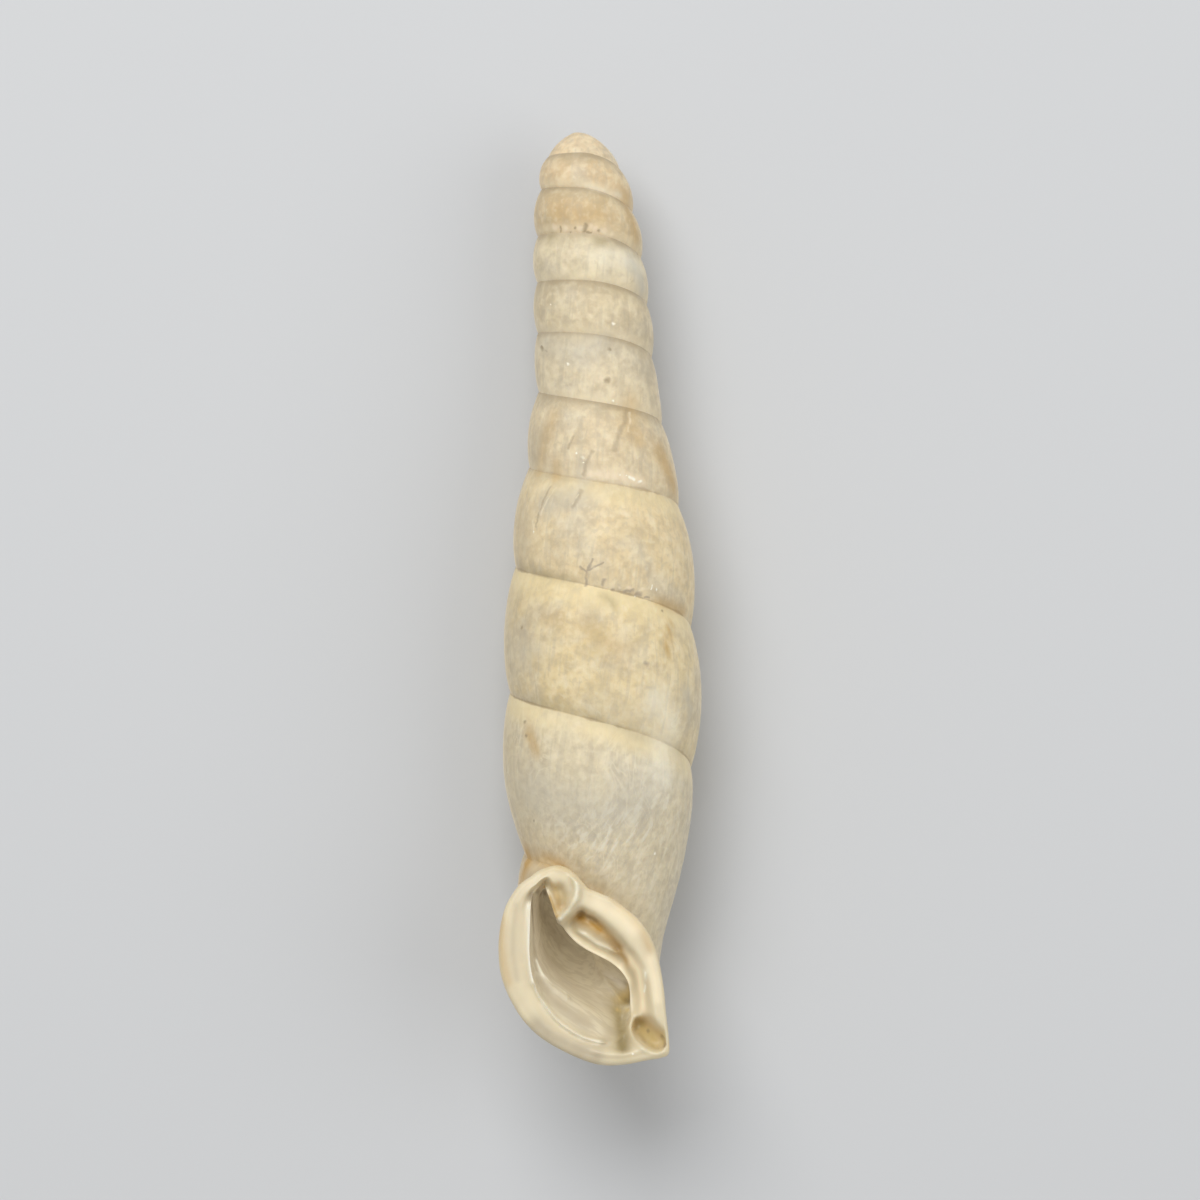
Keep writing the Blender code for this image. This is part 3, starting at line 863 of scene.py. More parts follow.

# %% [markdown]
# ## Where the seams run on the finished skin
#
# The colour along the seams is partly the shell's own and partly painted light and shade: near the tip a
# painted brown shadow lies just below each one, under the whorl above, with a painted pale highlight on that
# whorl's lower edge, and on the big whorls a thin brown line has a painted olive shade above it, where the
# whorl curves in to the seam, and a pale yellow band below, partly painted light on the next whorl's top. So
# every point of the coil gets two numbers, how far it is below the seam above it and above the seam below
# it, in millimetres. Every point also gets its whorl, how far into the mouth it lies and whether it is on
# the neck. They are stored as attributes of the mesh, which a material can read.

# %% Measure every point's place on the coil and its distance to the seams
TABLE_STEPS = 1200
ON_SEAM = 0.004
FAR_FROM_SEAM = 9.0
WHOLE_TURNS = range(-1, 10)
LAST_WHORL = 9.0
MOUTH_ROUNDS = 5
NECK_ROUNDS = 25


def store(name, values):
    """Keep one number for every point of the shell as an attribute."""
    kept = joined.attributes.new(name, "FLOAT", "POINT")
    kept.data.foreach_set("value", np.asarray(values, dtype=np.float32))


flat_places = np.zeros(len(joined.vertices) * 3)
joined.vertices.foreach_get("co", flat_places)
places = flat_places.reshape(-1, 3) / MM
grown = np.array([lifted(Vector(place)) for place in places])
side, depth, height = grown.T
angle = np.arctan2(height, -(side + np.array([bow(d) for d in depth])))
part_turn = (angle / (2.0 * math.pi)) % 1.0
table_turns = np.linspace(-1.0, LAST_TURN, TABLE_STEPS)
table_depths = np.array([read(SEAM_DEPTHS, turn) for turn in table_turns])
below_seam = np.full(len(depth), FAR_FROM_SEAM)
above_seam = np.full(len(depth), FAR_FROM_SEAM)
for whole in WHOLE_TURNS:
    gap = depth - np.interp(part_turn + whole, table_turns, table_depths)
    below_seam = np.where(gap > -ON_SEAM, np.minimum(below_seam, np.maximum(gap, 0.0)), below_seam)
    above_seam = np.where(gap < ON_SEAM, np.minimum(above_seam, np.maximum(-gap, 0.0)), above_seam)
seams_above = sum(depth > np.interp(part_turn + whole, table_turns, table_depths) for whole in WHOLE_TURNS)
whorl = part_turn + seams_above + (WHOLE_TURNS[0] - 1)


def spread(values, rounds):
    """Even out a number of every point among its neighbours some times."""
    for _ in range(rounds):
        total = values.copy()
        count = np.ones(len(values))
        for a, b in (edge_ends.T, edge_ends.T[::-1]):
            np.add.at(total, a, values[b])
            np.add.at(count, a, 1.0)
        values = total / count
    return values


edge_ends = np.zeros(len(joined.edges) * 2, dtype=int)
joined.edges.foreach_get("vertices", edge_ends)
edge_ends = edge_ends.reshape(-1, 2)
origin_tree = tree_of([origin for origin, _, _ in origins])
nearest_origin = [origins[origin_tree.find(vert.co)[1]] for vert in joined.vertices]
on_coil = np.array([coiled for _, coiled, _ in nearest_origin]) > 0.5
store("into_mouth", spread(np.array([mouth for _, _, mouth in nearest_origin]), MOUTH_ROUNDS))
store("below_seam", np.where(on_coil, below_seam, FAR_FROM_SEAM))
store("above_seam", np.where(on_coil, above_seam, FAR_FROM_SEAM))
store("whorl", np.where(on_coil, whorl, LAST_WHORL))
store("neck", spread(np.where(on_coil, 0.0, 1.0), NECK_ROUNDS))
print("seam distances up to", round(float(below_seam[below_seam < FAR_FROM_SEAM].max()), 2), "mm")

# %% [markdown]
# ## Stains, tints and painted light and shade, by stroke
#
# The shell is stained here and there: orange where the neck leaves the whorl, olive in the pit. Some tints
# are painted light and shade: the shade paint darkens the inside of the mouth, the foot of the throat and
# some flanks of the spire. The brown and the olive also paint shadow in the mouth's hollows and corners, in
# the furrow and under the lip's upper right edge. The orange in the recess above the pillar fold and along
# the lip's outer edge is partly painted shade. The cream, the white and the peach are partly painted light,
# with highlights on the bead, the folds, the tooth and the seams. Each tint is painted as the relief was, by
# strokes given in the photo's pixels. A ray from the camera finds the point of the skin under each pixel,
# and every point of the mesh takes its share of colour from its distance in space to the strokes, so the
# paint stays on the shell from every side. A texture image would be simpler, but it would only fit one view.
# One stroke isn't a colour: it only says where the last whorl is wrinkled.

# %% Paint the tints onto the points of the skin: half width in pixels, strength, route
TINTS = {
    # orange: a stain on the neck and the whorls; in the recess above the pillar fold and along the lip's
    # outer edge it is partly painted shade
    "orange": (
        (12, 1.0, (528, 855), (525, 868), (521, 880)),
        (6, 0.6, (536, 858), (548, 861), (562, 866)),
        (8, 1.0, (578, 916), (588, 921), (600, 929)),
        (7, 0.85, (602, 930), (612, 939), (621, 950), (626, 960)),
        (5, 0.6, (553, 886), (557, 897), (559, 908)),
        (5, 0.3, (562, 892), (564, 904)),
        (2.8, 0.9, (545, 887), (549, 898), (554, 909), (557, 918)),
        (5, 0.35, (506, 905), (502, 920), (501, 940), (503, 962), (508, 982)),
        (5, 0.35, (600, 893), (615, 902), (630, 915), (642, 930), (650, 948)),
        (4, 0.25, (560, 868), (573, 873), (582, 883), (590, 890)),
        (12, 0.55, (660, 452), (668, 470), (674, 486)),
        (3.5, 0.7, (671, 625), (668, 640), (666, 654)),
        (6, 0.55, (528, 730), (533, 742), (535, 750)),
        (6, 0.4, (556, 462), (556, 478)),
        (9, 0.3, (540, 470), (545, 440), (552, 420)),
        (6, 0.45, (658, 602), (672, 606), (684, 612)),
        (10, 0.4, (626, 200), (632, 220), (636, 236)),
        (12, 0.3, (560, 212), (580, 215), (600, 216)),
        (10, 0.35, (632, 402), (628, 425), (640, 440)),
        (12, 0.3, (585, 625), (600, 640), (620, 650)),
        (8, 0.3, (545, 615), (560, 620)),
        (6, 0.3, (648, 1022), (660, 1034), (664, 1046)),
    ),
    # olive: the stain in the pit, and painted shade in the furrow, the pocket, under the lip's upper right
    # edge and along some seams
    "olive": (
        (5, 0.35, (638, 1022), (642, 1034), (650, 1044)),
        (10, 0.9, (616, 1008), (620, 1022), (621, 1036), (622, 1049)),
        (8, 1.0, (616, 999), (624, 1002), (628, 996)),
        (5, 0.35, (575, 866), (598, 882), (622, 895), (645, 918), (656, 942)),
        (5, 0.35, (520, 566), (545, 574), (570, 580)),
        (4.5, 0.45, (604, 596), (612, 602), (614, 608)),
        (9, 0.25, (588, 624), (600, 632), (596, 650)),
        (6, 0.25, (535, 700), (560, 706), (590, 716), (640, 738), (680, 750)),
        (7, 0.35, (548, 222), (552, 236)),
        (6, 0.55, (598, 241), (602, 242)),
        (7, 0.12, (536, 960), (548, 980), (566, 994), (590, 1006)),
    ),
    # painted shade: darker inside the mouth under the lip, along the foot of the throat and on some flanks
    # of the spire
    "shade": (
        (9, 0.75, (536, 1024), (552, 1037), (572, 1047), (596, 1056)),
        (8, 0.9, (541, 982), (552, 998), (568, 1012), (586, 1024)),
        (9, 0.5, (600, 975), (612, 990), (606, 1005)),
        (3, 0.3, (516, 905), (513, 930), (513, 955), (517, 980)),
        (7, 0.5, (590, 1050), (604, 1044), (612, 1030)),
        (4.5, 0.7, (533, 926), (534, 945), (537, 962), (545, 978)),
        (12, 0.45, (548, 960), (560, 978), (580, 992), (600, 1000)),
        (12, 0.5, (652, 368), (660, 392)),
        (10, 0.5, (536, 436), (534, 458)),
        (9, 0.3, (526, 520), (524, 550)),
    ),
    # cream: the folds' pale colour, brightened as painted light on the pillar fold, the pillar and the
    # pillar lip's crest, where it also drives a glow
    "cream": (
        (6.5, 1.0, (569, 933), (576, 938), (589, 946), (603, 955), (616, 966), (626, 978)),
        (8, 0.8, (630, 958), (638, 970), (641, 988), (643, 1006)),
        (5, 0.4, (650, 960), (655, 980), (657, 1000)),
        (8, 0.4, (598, 904), (618, 914), (634, 929)),
    ),
    # peach: a pale band along two seams, partly painted light over the seam's dark crease
    "peach": (
        (5, 0.75, (586, 474), (600, 474), (620, 477), (642, 482)),
        (5, 0.4, (548, 228), (565, 229), (585, 228), (606, 234)),
    ),
    "wrinkled": ((42, 1.0, (590, 850), (630, 820), (665, 780)),),
    "amber": (
        (11, 0.95, (643, 1027), (655, 1041)),
        (2.2, 0.9, (616, 1009), (628, 1010)),
        (6, 0.7, (618, 999), (625, 994), (629, 990)),
        (5, 0.35, (545, 871), (555, 867), (566, 868)),
        (6, 0.35, (558, 889), (563, 900)),
    ),
    # brown: dark marks in the pit, and painted shadow in the pocket, the corner at the top of the opening,
    # the strip under the lip's left edge and the recess under the upper tooth
    "brown": (
        (4.0, 0.8, (618, 1001), (625, 999), (628, 994)),
        (3.2, 0.7, (537, 891), (541, 894), (545, 893)),
        (4.5, 0.85, (532.5, 896), (532.5, 912), (533.5, 930)),
        (4.0, 0.35, (533.5, 930), (534.5, 950), (538, 968)),
        (3.5, 0.45, (627, 984), (628, 994), (629, 1002)),
        (3.4, 0.6, (579, 912), (586, 915), (596, 920)),
        (2.4, 0.45, (636, 1022), (640, 1032), (645, 1042)),
        (2.4, 0.4, (652, 1046), (660, 1048)),
        (9, 0.35, (540, 905), (548, 925), (560, 940)),
        (2.0, 0.6, (662, 1038), (664, 1046)),
        (3.0, 0.3, (638, 1020), (642, 1028)),
    ),
    # white: pale patches on the whorls, and painted highlights on the bead round the opening, the ridge
    # within the mouth, the crests of the upper tooth and the pillar fold, and the gloss spots on the pillar
    "white": (
        (2.6, 0.5, (575, 883), (577, 890), (576, 899)),
        (4.0, 0.4, (561, 920), (570, 912), (578, 905)),
        (2.6, 0.8, (529, 905), (528.5, 930), (528.5, 955), (532, 980), (544, 1003)),
        (3.2, 1.0, (544, 1003), (553, 1015), (565, 1026), (581, 1036), (598, 1041)),
        (2.6, 0.8, (537, 961), (543, 974), (553, 984), (564, 992)),
        (2.0, 0.6, (582, 933), (590, 940), (600, 946), (610, 949)),
        (1.6, 0.5, (590, 943), (600, 948), (607, 951)),
        (3, 0.5, (645, 972), (645, 978)),
        (3, 0.5, (645, 986), (644, 991)),
        (3.0, 0.3, (620, 196), (600, 190), (588, 186)),
        (10, 0.3, (600, 256), (622, 258), (640, 268)),
        (18, 0.42, (660, 700), (668, 730), (660, 775)),
    ),
    "grey": (
        (10, 0.6, (630, 262), (640, 276), (642, 290)),
        (14, 0.4, (545, 345), (580, 352), (600, 345)),
        (14, 0.5, (548, 505), (560, 500), (575, 498)),
        (7, 0.4, (582, 462), (584, 480), (578, 500)),
        (8, 0.5, (686, 690), (690, 712)),
        (26, 0.4, (530, 790), (560, 800), (600, 810), (640, 800)),
        (16, 0.25, (655, 700), (640, 720), (600, 700)),
        (14, 0.25, (525, 650), (540, 655)),
    ),
}

HIDDEN_HEIGHT = 1.5
LEAST_SHOWN = 0.1

corners_in_mm = [vert.co / MM for vert in joined.vertices]
skin_tree = BVHTree.FromPolygons(corners_in_mm, [face.vertices for face in joined.polygons])


def landed(x, y):
    """The point of the finished skin, in millimetres, that the camera sees at a pixel of the photo."""
    found = skin_tree.ray_cast(EYE, sight(x, y))[0]
    return found if found else laid(under(x, y, HIDDEN_HEIGHT))


def space_to_route(corners):
    """Every point's distance in space to a route through some corners."""
    best = np.full(len(places), np.inf)
    for a, b in zip(corners, corners[1:]):
        way = b - a
        share = np.clip((places - a) @ way / (way @ way), 0.0, 1.0)
        best = np.minimum(best, np.linalg.norm(places - a - share[:, None] * way, axis=1))
    return best


for tint, strokes in TINTS.items():
    amount = np.zeros(len(places))
    for width, strength, *route in strokes:
        corners = [np.array(landed(x, y)) for x, y in route]
        amount = np.maximum(amount, strength * np.exp(-((space_to_route(corners) / (width * PIXEL)) ** 2)))
    store(tint, amount)
    print(tint, "on", int((amount > LEAST_SHOWN).sum()), "points")

# %% [markdown]
# ## Small marks
#
# Specks, cracks and glints are smaller than the mesh, so each is a short line in space that the material
# measures itself: a branched grey stain on the middle whorl, fine cracks above it with pale scratches
# beside them, brown specks, pale crumbs at the seams, and painted glints, white points of highlight where
# the surface catches the light.

# %% Where the small marks are: two ends in the photo's pixels, half width in pixels
MARKS = {
    "stain": (
        (586, 585, 586, 571, 1.0), (586, 571, 580, 566, 1.0), (586, 571, 590, 565, 0.9),
        (590, 565, 592, 560, 0.7), (588, 569, 603, 563, 0.7), (603, 584, 604, 580, 1.4),
        (612, 589, 614, 590, 1.0), (625, 592, 632, 590, 1.2), (636, 593, 640, 594, 1.2),
        (645, 597, 650, 597, 0.9), (646, 662, 647, 665, 1.8),
    ),
    "crack": (
        (626, 410, 624, 424, 2.0), (624, 424, 618, 436, 1.8), (618, 436, 615, 450, 2.2),
        (574, 437, 568, 448, 1.2), (592, 452, 586, 462, 1.4), (586, 462, 584, 474, 1.6),
        (581, 491, 573, 506, 1.8), (551, 486, 543, 501, 1.0), (543, 501, 536, 526, 1.0),
        (541, 347, 547, 352, 0.9),
    ),
    "scratch": (
        (630, 413, 628, 430, 1.0), (556, 488, 546, 503, 0.8), (546, 503, 541, 515, 0.7),
        (578, 494, 572, 504, 0.7), (533, 522, 533, 530, 0.8),
    ),
    "speck": (
        (575, 227, 575, 230, 1.2), (585, 224, 584, 231, 1.5), (587, 232, 592, 233, 1.1),
        (599, 230, 599, 233, 1.2), (560, 227, 560, 231, 0.9), (570, 231, 572, 232, 0.8),
        (541, 348, 543, 350, 1.2), (607, 378, 608, 381, 2.0), (609, 349, 610, 349, 1.4),
        (521, 627, 523, 628, 1.4), (524, 721, 526, 722, 1.9), (526, 734, 527, 737, 1.5),
        (533, 821, 534, 821, 1.2), (648, 1030, 648, 1032, 2.0), (662, 1036, 665, 1046, 1.8),
        (661, 610, 663, 611, 1.2),
    ),
    "crumb": (
        (554, 227, 555, 228, 1.9), (565, 228, 567, 229, 1.9), (579, 228, 580, 229, 2.2),
        (590, 226, 591, 227, 2.0), (595, 228, 596, 229, 1.8), (603, 231, 604, 232, 1.9),
        (611, 234, 612, 235, 1.6), (590, 474, 592, 474, 1.8), (598, 475, 600, 475, 2.0),
        (606, 476, 608, 476, 1.8), (614, 476, 616, 477, 2.2), (623, 478, 624, 478, 2.0),
        (620, 585, 621, 588, 1.4), (628, 586, 629, 589, 1.5), (641, 588, 642, 591, 1.4),
        (601, 378, 602, 378, 1.6),
    ),
    # glints: painted highlights, white points where the surface catches the light
    "glint": (
        (613, 323, 614, 324, 2.0), (568, 364, 568, 365, 1.3), (576, 453, 577, 453, 1.1),
        (581, 456, 584, 458, 1.6), (583, 462, 583, 463, 0.9), (630, 477, 634, 479, 1.9),
        (639, 480, 641, 483, 1.9), (620, 475, 621, 475, 0.9), (626, 476, 627, 476, 0.9),
        (533, 532, 533, 533, 1.3), (613, 401, 614, 402, 1.2), (653, 853, 655, 855, 1.6),
        (645, 972, 645, 977, 1.4), (645, 987, 644, 991, 1.6), (634, 596, 636, 596, 0.9),
        (656, 588, 656, 592, 0.8), (652, 584, 651, 589, 0.8), (632, 1054, 633, 1054, 1.6),
        (551, 304, 551, 305, 1.0),
    ),
}
print(sum(len(marks) for marks in MARKS.values()), "small marks")

# %% [markdown]
# ## A small language for materials
#
# A material is a net of nodes, and its maths reads best as plain expressions. One small class wraps a
# socket: sums and products of wires add Math nodes, and one method adds any other node.


# %% Wrap the sockets of a material
class Wire:
    """An output socket in a material's net, which can be used in sums and products."""

    def __init__(self, net, socket=None):
        self.net = net
        self.socket = socket

    def node(self, kind, settings=None, sockets=None, output=0):
        """Add a node: its settings first, then the values or wires of its sockets."""
        made = self.net.nodes.new(kind)
        for name, value in (settings or {}).items():
            if name == "stops":
                for spot, colour in value[: len(value) - 2]:
                    made.color_ramp.elements.new(spot)
                for element, (spot, colour) in zip(made.color_ramp.elements, value):
                    element.position = spot
                    element.color = (*colour, 1.0)
            else:
                setattr(made, name, value)
        for name, value in (sockets or {}).items():
            if isinstance(value, Wire):
                self.net.links.new(value.socket, made.inputs[name])
            else:
                made.inputs[name].default_value = value
        return Wire(self.net, made.outputs[output])

    def math(self, operation, *values, clamped=False):
        settings = {"operation": operation, "use_clamp": clamped}
        return self.node("ShaderNodeMath", settings, dict(enumerate(values)))

    def __add__(self, other):
        return self.math("ADD", self, other)

    def __sub__(self, other):
        return self.math("SUBTRACT", self, other)

    def __rsub__(self, other):
        return self.math("SUBTRACT", other, self)

    def __mul__(self, other):
        return self.math("MULTIPLY", self, other)

    def __truediv__(self, other):
        return self.math("DIVIDE", self, other)

    __radd__ = __add__
    __rmul__ = __mul__

    def most(self, other):
        return self.math("MAXIMUM", self, other)

    def vector(self, operation, other, output=0):
        return self.node("ShaderNodeVectorMath", {"operation": operation}, {0: self, 1: other}, output)

    def scaled(self, factor):
        return self.node("ShaderNodeVectorMath", {"operation": "SCALE"}, {0: self, "Scale": factor})

    def fade(self, start, end):
        """A mask that goes smoothly from 0 where this wire is at the start to 1 at the end."""
        settings = {"interpolation_type": "SMOOTHSTEP"}
        return self.node("ShaderNodeMapRange", settings, {"Value": self, "From Min": start, "From Max": end})

    def tinted(self, colour, share):
        """This colour with a share of another mixed in."""
        if not isinstance(colour, Wire):
            colour = (*colour, 1.0)
        return self.node("ShaderNodeMix", {"data_type": "RGBA"}, {0: share, 6: self, 7: colour}, 2)

    def noise(self, scale, detail=2.0, distortion=0.0):
        sockets = {"Vector": self, "Scale": scale, "Detail": detail, "Distortion": distortion}
        return self.node("ShaderNodeTexNoise", {"noise_dimensions": "3D"}, sockets)

    def mapped(self, turn, scale):
        """This place, turned first and then scaled along the turned axes."""
        turned = self.node("ShaderNodeMapping", {"vector_type": "POINT"}, {"Vector": self, "Rotation": turn})
        return turned.node("ShaderNodeMapping", {"vector_type": "POINT"}, {"Vector": turned, "Scale": scale})


def set_sockets(node, values):
    """Give a node's own sockets their plain values."""
    for socket, value in values.items():
        node.inputs[socket].default_value = value


ivory.use_nodes = True
net = ivory.node_tree
start = Wire(net)
place = start.node("ShaderNodeTexCoord", output=3).scaled(1.0 / MM)
print("the material's places are in millimetres")

# %% [markdown]
# ## The shell's finish
#
# A clean door snail shell is horn coloured, but an old one bleaches to ivory and turns translucent in
# places. The spire is warm and peachy at its tip, olive grey below it and tan in the middle. The big whorls
# are creamy with a greyer marbling. A ramp along the coil gives the broad colour, and noise at three sizes
# lays cloudy patches, mottling and fine speckle over it. Every layer is a colour, a mask that says where it
# lies, and how much it may cover at most.

# %% Broad colours along the coil, from its first whorl to its last
ALONG_THE_COIL = (
    (-0.75, (0.78, 0.61, 0.38)),
    (0.25, (0.70, 0.53, 0.31)),
    (1.25, (0.64, 0.49, 0.28)),
    (2.25, (0.76, 0.66, 0.45)),
    (3.25, (0.64, 0.53, 0.34)),
    (4.25, (0.73, 0.62, 0.42)),
    (5.25, (0.72, 0.59, 0.38)),
    (6.25, (0.76, 0.61, 0.36)),
    (7.25, (0.77, 0.62, 0.34)),
    (8.25, (0.70, 0.61, 0.42)),
    (9.00, (0.68, 0.59, 0.41)),
)
FIRST_WHORL = -1.0
WHORLS = 10.0

attribute = {}
for name in ("into_mouth", "whorl", "neck", "below_seam", "above_seam", *TINTS):
    attribute[name] = start.node("ShaderNodeAttribute", {"attribute_name": name}, output=2)
grown_share = (attribute["whorl"] - FIRST_WHORL) / WHORLS
stops = [((turn - FIRST_WHORL) / WHORLS, shade) for turn, shade in ALONG_THE_COIL]
colour = grown_share.node("ShaderNodeValToRGB", {"stops": stops}, {0: grown_share})
print("the ramp along the coil has", len(stops), "colours")

# %% Clouds, mottling and speckle, calmer on the last whorl
SHELL_LENGTH = 21.95
CALMED = 0.55

side_way = place.node("ShaderNodeSeparateXYZ", sockets={0: place}, output=0)
down = 0.5 - place.node("ShaderNodeSeparateXYZ", sockets={0: place}, output=1) / SHELL_LENGTH
last_whorl = down.fade(0.66, 0.76) * (1.0 - attribute["neck"])
calm = 1.0 - CALMED * last_whorl
clouds = place.noise(0.75, 3.0, 0.6)
mottle = place.noise(2.6, 4.0, 0.3)
speckle = place.noise(6.5, 3.0, 0.1)


def layered(colour, layers):
    """A colour with layers laid over it, each with its own colour, its mask and the most it covers."""
    for layer_colour, mask, most in layers.values():
        colour = colour.tinted(layer_colour, mask * most)
    return colour


CLOUD_LAYERS = {
    "grey clouds": ((0.58, 0.52, 0.40), clouds.fade(0.46, 0.70), 0.55),
    "pale mottling": ((0.92, 0.81, 0.56), mottle.fade(0.46, 0.72) * calm, 0.42),
    "dark mottling": ((0.46, 0.37, 0.23), mottle.fade(0.54, 0.28) * calm, 0.36),
    "pale speckle": ((0.90, 0.80, 0.58), speckle.fade(0.46, 0.72), 0.35),
    "dark speckle": ((0.50, 0.42, 0.29), speckle.fade(0.48, 0.32), 0.30),
    "olive left flank": ((0.48, 0.39, 0.25), side_way.fade(-1.1, -2.2), 0.35),
}
colour = layered(colour, CLOUD_LAYERS)
print(len(CLOUD_LAYERS), "layers of clouds and speckle")

# %% [markdown]
# ## Growth lines, wrinkles, the mouth's own colours and a painted shade in its depth
#
# A shell grows at its mouth, edge by edge, and each pause leaves a fine line across the whorl. On the last
# whorl the lines turn into steep wrinkles. Both are noise that is stretched along one direction: a Mapping
# node turns the place, and a second one squeezes it. Veins are drawn where another noise passes through its
# middle value. The lip and the inside of the mouth are smooth, so their colours cover the rest.

# %% Growth lines along the shell, wrinkles on its last whorl, and the mouth
MOST_IN_A_VEIN = 0.035
LEAST_WRINKLED = 0.25

lines = place.mapped((0.0, 0.0, 0.10), (3.2, 0.30, 3.2)).noise(2.2, 3.0, 0.2)
wrinkles = place.mapped((0.0, 0.0, 0.60), (3.0, 0.80, 3.0)).noise(2.6, 2.0, 0.4)
veins = place.mapped((0.0, 0.0, 0.20), (1.0, 0.45, 1.0)).noise(1.5, 2.0, 1.6)
striae = place.mapped((0.0, 0.0, -0.95), (4.0, 0.6, 4.0)).noise(2.4, 2.0, 0.3)
off_vein = veins - 0.5
vein_line = 1.0 - off_vein.math("ABSOLUTE", off_vein).fade(0.0, MOST_IN_A_VEIN)
big_whorls = down.fade(0.52, 0.66)
wrinkled = last_whorl * (LEAST_WRINKLED + (1.0 - LEAST_WRINKLED) * attribute["wrinkled"])
lip = attribute["into_mouth"].fade(0.2, 0.9)
within = attribute["into_mouth"].fade(1.0, 1.30)
deep_shade = attribute["into_mouth"].fade(1.35, 1.95)

GROWTH_LAYERS = {
    "growth lines": ((0.50, 0.43, 0.31), lines.fade(0.50, 0.34), 0.30),
    "pale veins": ((0.84, 0.76, 0.56), vein_line * clouds.fade(0.40, 0.60) * big_whorls, 0.42),
    "wrinkle crests": ((0.82, 0.77, 0.62), wrinkles.fade(0.50, 0.66) * wrinkled, 0.70),
    "wrinkle furrows": ((0.48, 0.43, 0.34), wrinkles.fade(0.49, 0.34) * wrinkled, 0.45),
    "tan neck": ((0.58, 0.43, 0.23), attribute["neck"], 0.75),
    "ivory lip": ((0.77, 0.68, 0.47), lip, 0.93),
    "clouds on the lip": ((0.64, 0.54, 0.37), lip * clouds.fade(0.44, 0.60), 0.35),
    "grey inside": ((0.62, 0.56, 0.42), within, 0.75),
    "streaks inside": ((0.36, 0.29, 0.18), within * striae.fade(0.56, 0.40), 0.30),
    # painted shade: darker deeper in the throat
    "painted shade in the depth": ((0.40, 0.31, 0.19), deep_shade, 0.20),
}
colour = layered(colour, GROWTH_LAYERS)
print(len(GROWTH_LAYERS), "layers of growth and of the mouth")

# %% [markdown]
# ## Colours, painted light and painted shade along the seams
#
# On the spire a painted brown shadow and a painted olive shade lie just below each seam, with a painted pale
# highlight above it. On the big whorls it is a thin brown line, the seam's own colour, with a painted olive
# shade above it and a yellow band below that is partly painted light. Both read the distances to the seams
# that were measured before, made a little ragged by the mottling, so that they don't look ruled with a pen.
# A mask passes from the one kind to the other, and where the peach paint lies, the spire's painted bands and
# the big whorls' brown line fade.

# %% A painted shade below the seams of the spire, and a line with painted bands of light and shade on the big whorls
RAGGEDNESS = 0.16

ragged = (mottle - 0.5) * RAGGEDNESS
below, above = attribute["below_seam"] + ragged, attribute["above_seam"] + ragged
on_spire = down.fade(0.42, 0.34)
on_big = 1.0 - on_spire
outside_peach = 1.0 - attribute["peach"]
spire_seam = on_spire * attribute["whorl"].fade(-0.55, 0.1) * outside_peach
patchy = clouds.fade(0.36, 0.56)
seam_line = below.fade(0.035, 0.0).most(above.fade(0.05, 0.0))

# the pale band above is a painted highlight, the brown edge and both olive shades are painted shadow, the
# yellow band below is partly painted light, and the brown line is the seam's own colour
SEAM_LAYERS = {
    "painted highlight above": ((0.82, 0.70, 0.47), above.fade(0.30, 0.05) * spire_seam, 0.45),
    "painted brown shadow below": ((0.36, 0.27, 0.17), below.fade(0.18, 0.0) * spire_seam, 0.68),
    "painted olive shade below": ((0.44, 0.36, 0.22), below.fade(0.42, 0.08) * spire_seam, 0.40),
    "yellow band and painted light below": ((0.84, 0.70, 0.40), below.fade(0.75, 0.20) * on_big, 0.35 + 0.3 * patchy),
    "painted olive shade above": ((0.46, 0.38, 0.24), above.fade(0.30, 0.02) * on_big, 0.22),
    "brown line": ((0.36, 0.26, 0.14), seam_line * on_big * (0.10 + 0.5 * patchy), outside_peach),
}
colour = layered(colour, SEAM_LAYERS)
print(len(SEAM_LAYERS), "layers along the seams")

# %% [markdown]
# ## Paint and marks
#
# The painted tints come next, each made a little uneven by the mottling. The small marks lie over all. For
# each one the net measures how far a place is from its line, and keeps the nearest of its kind. The places
# are shaken a little by noise first, so that a crack wanders as a real one does.

# %% Paint, then the small marks: colour, strength, softness
PAINT = {
    "grey": (0.52, 0.49, 0.41),
    # orange stain, partly painted shade in the recess and along the lip's outer edge
    "orange": (0.52, 0.31, 0.08),
    # olive stain, partly painted shade
    "olive": (0.34, 0.27, 0.13),
    # brown, partly painted shadow
    "brown": (0.15, 0.09, 0.03),
    "amber": (0.56, 0.42, 0.17),
    # cream, partly painted light
    "cream": (1.0, 0.87, 0.62),
    # peach, partly painted light
    "peach": (0.85, 0.71, 0.50),
    # painted shade
    "shade": (0.47, 0.40, 0.28),
    # white, partly painted highlight
    "white": (0.98, 0.93, 0.76),
}
MARK_COLOURS = {
    "stain": ((0.30, 0.24, 0.19), 0.60, 2.4),
    "crack": ((0.38, 0.30, 0.19), 0.55, 2.2),
    "scratch": ((0.93, 0.83, 0.61), 0.38, 2.2),
    "speck": ((0.28, 0.21, 0.12), 0.65, 2.2),
    "crumb": ((0.87, 0.73, 0.53), 0.60, 2.4),
    # glint: a painted highlight
    "glint": ((1.0, 0.95, 0.80), 0.95, 1.5),
}
LEAST_PAINT, MOTTLED_PAINT = 0.6, 0.8
MARK_CORE = 0.2
WANDER = 0.07
WANDER_SCALE = 5.0
SHORTEST_LINE = 3.8

uneven = LEAST_PAINT + MOTTLED_PAINT * mottle
for name, tint_colour in PAINT.items():
    painted = attribute[name].math("MULTIPLY", attribute[name], uneven, clamped=True)
    colour = colour.tinted(tint_colour, painted)

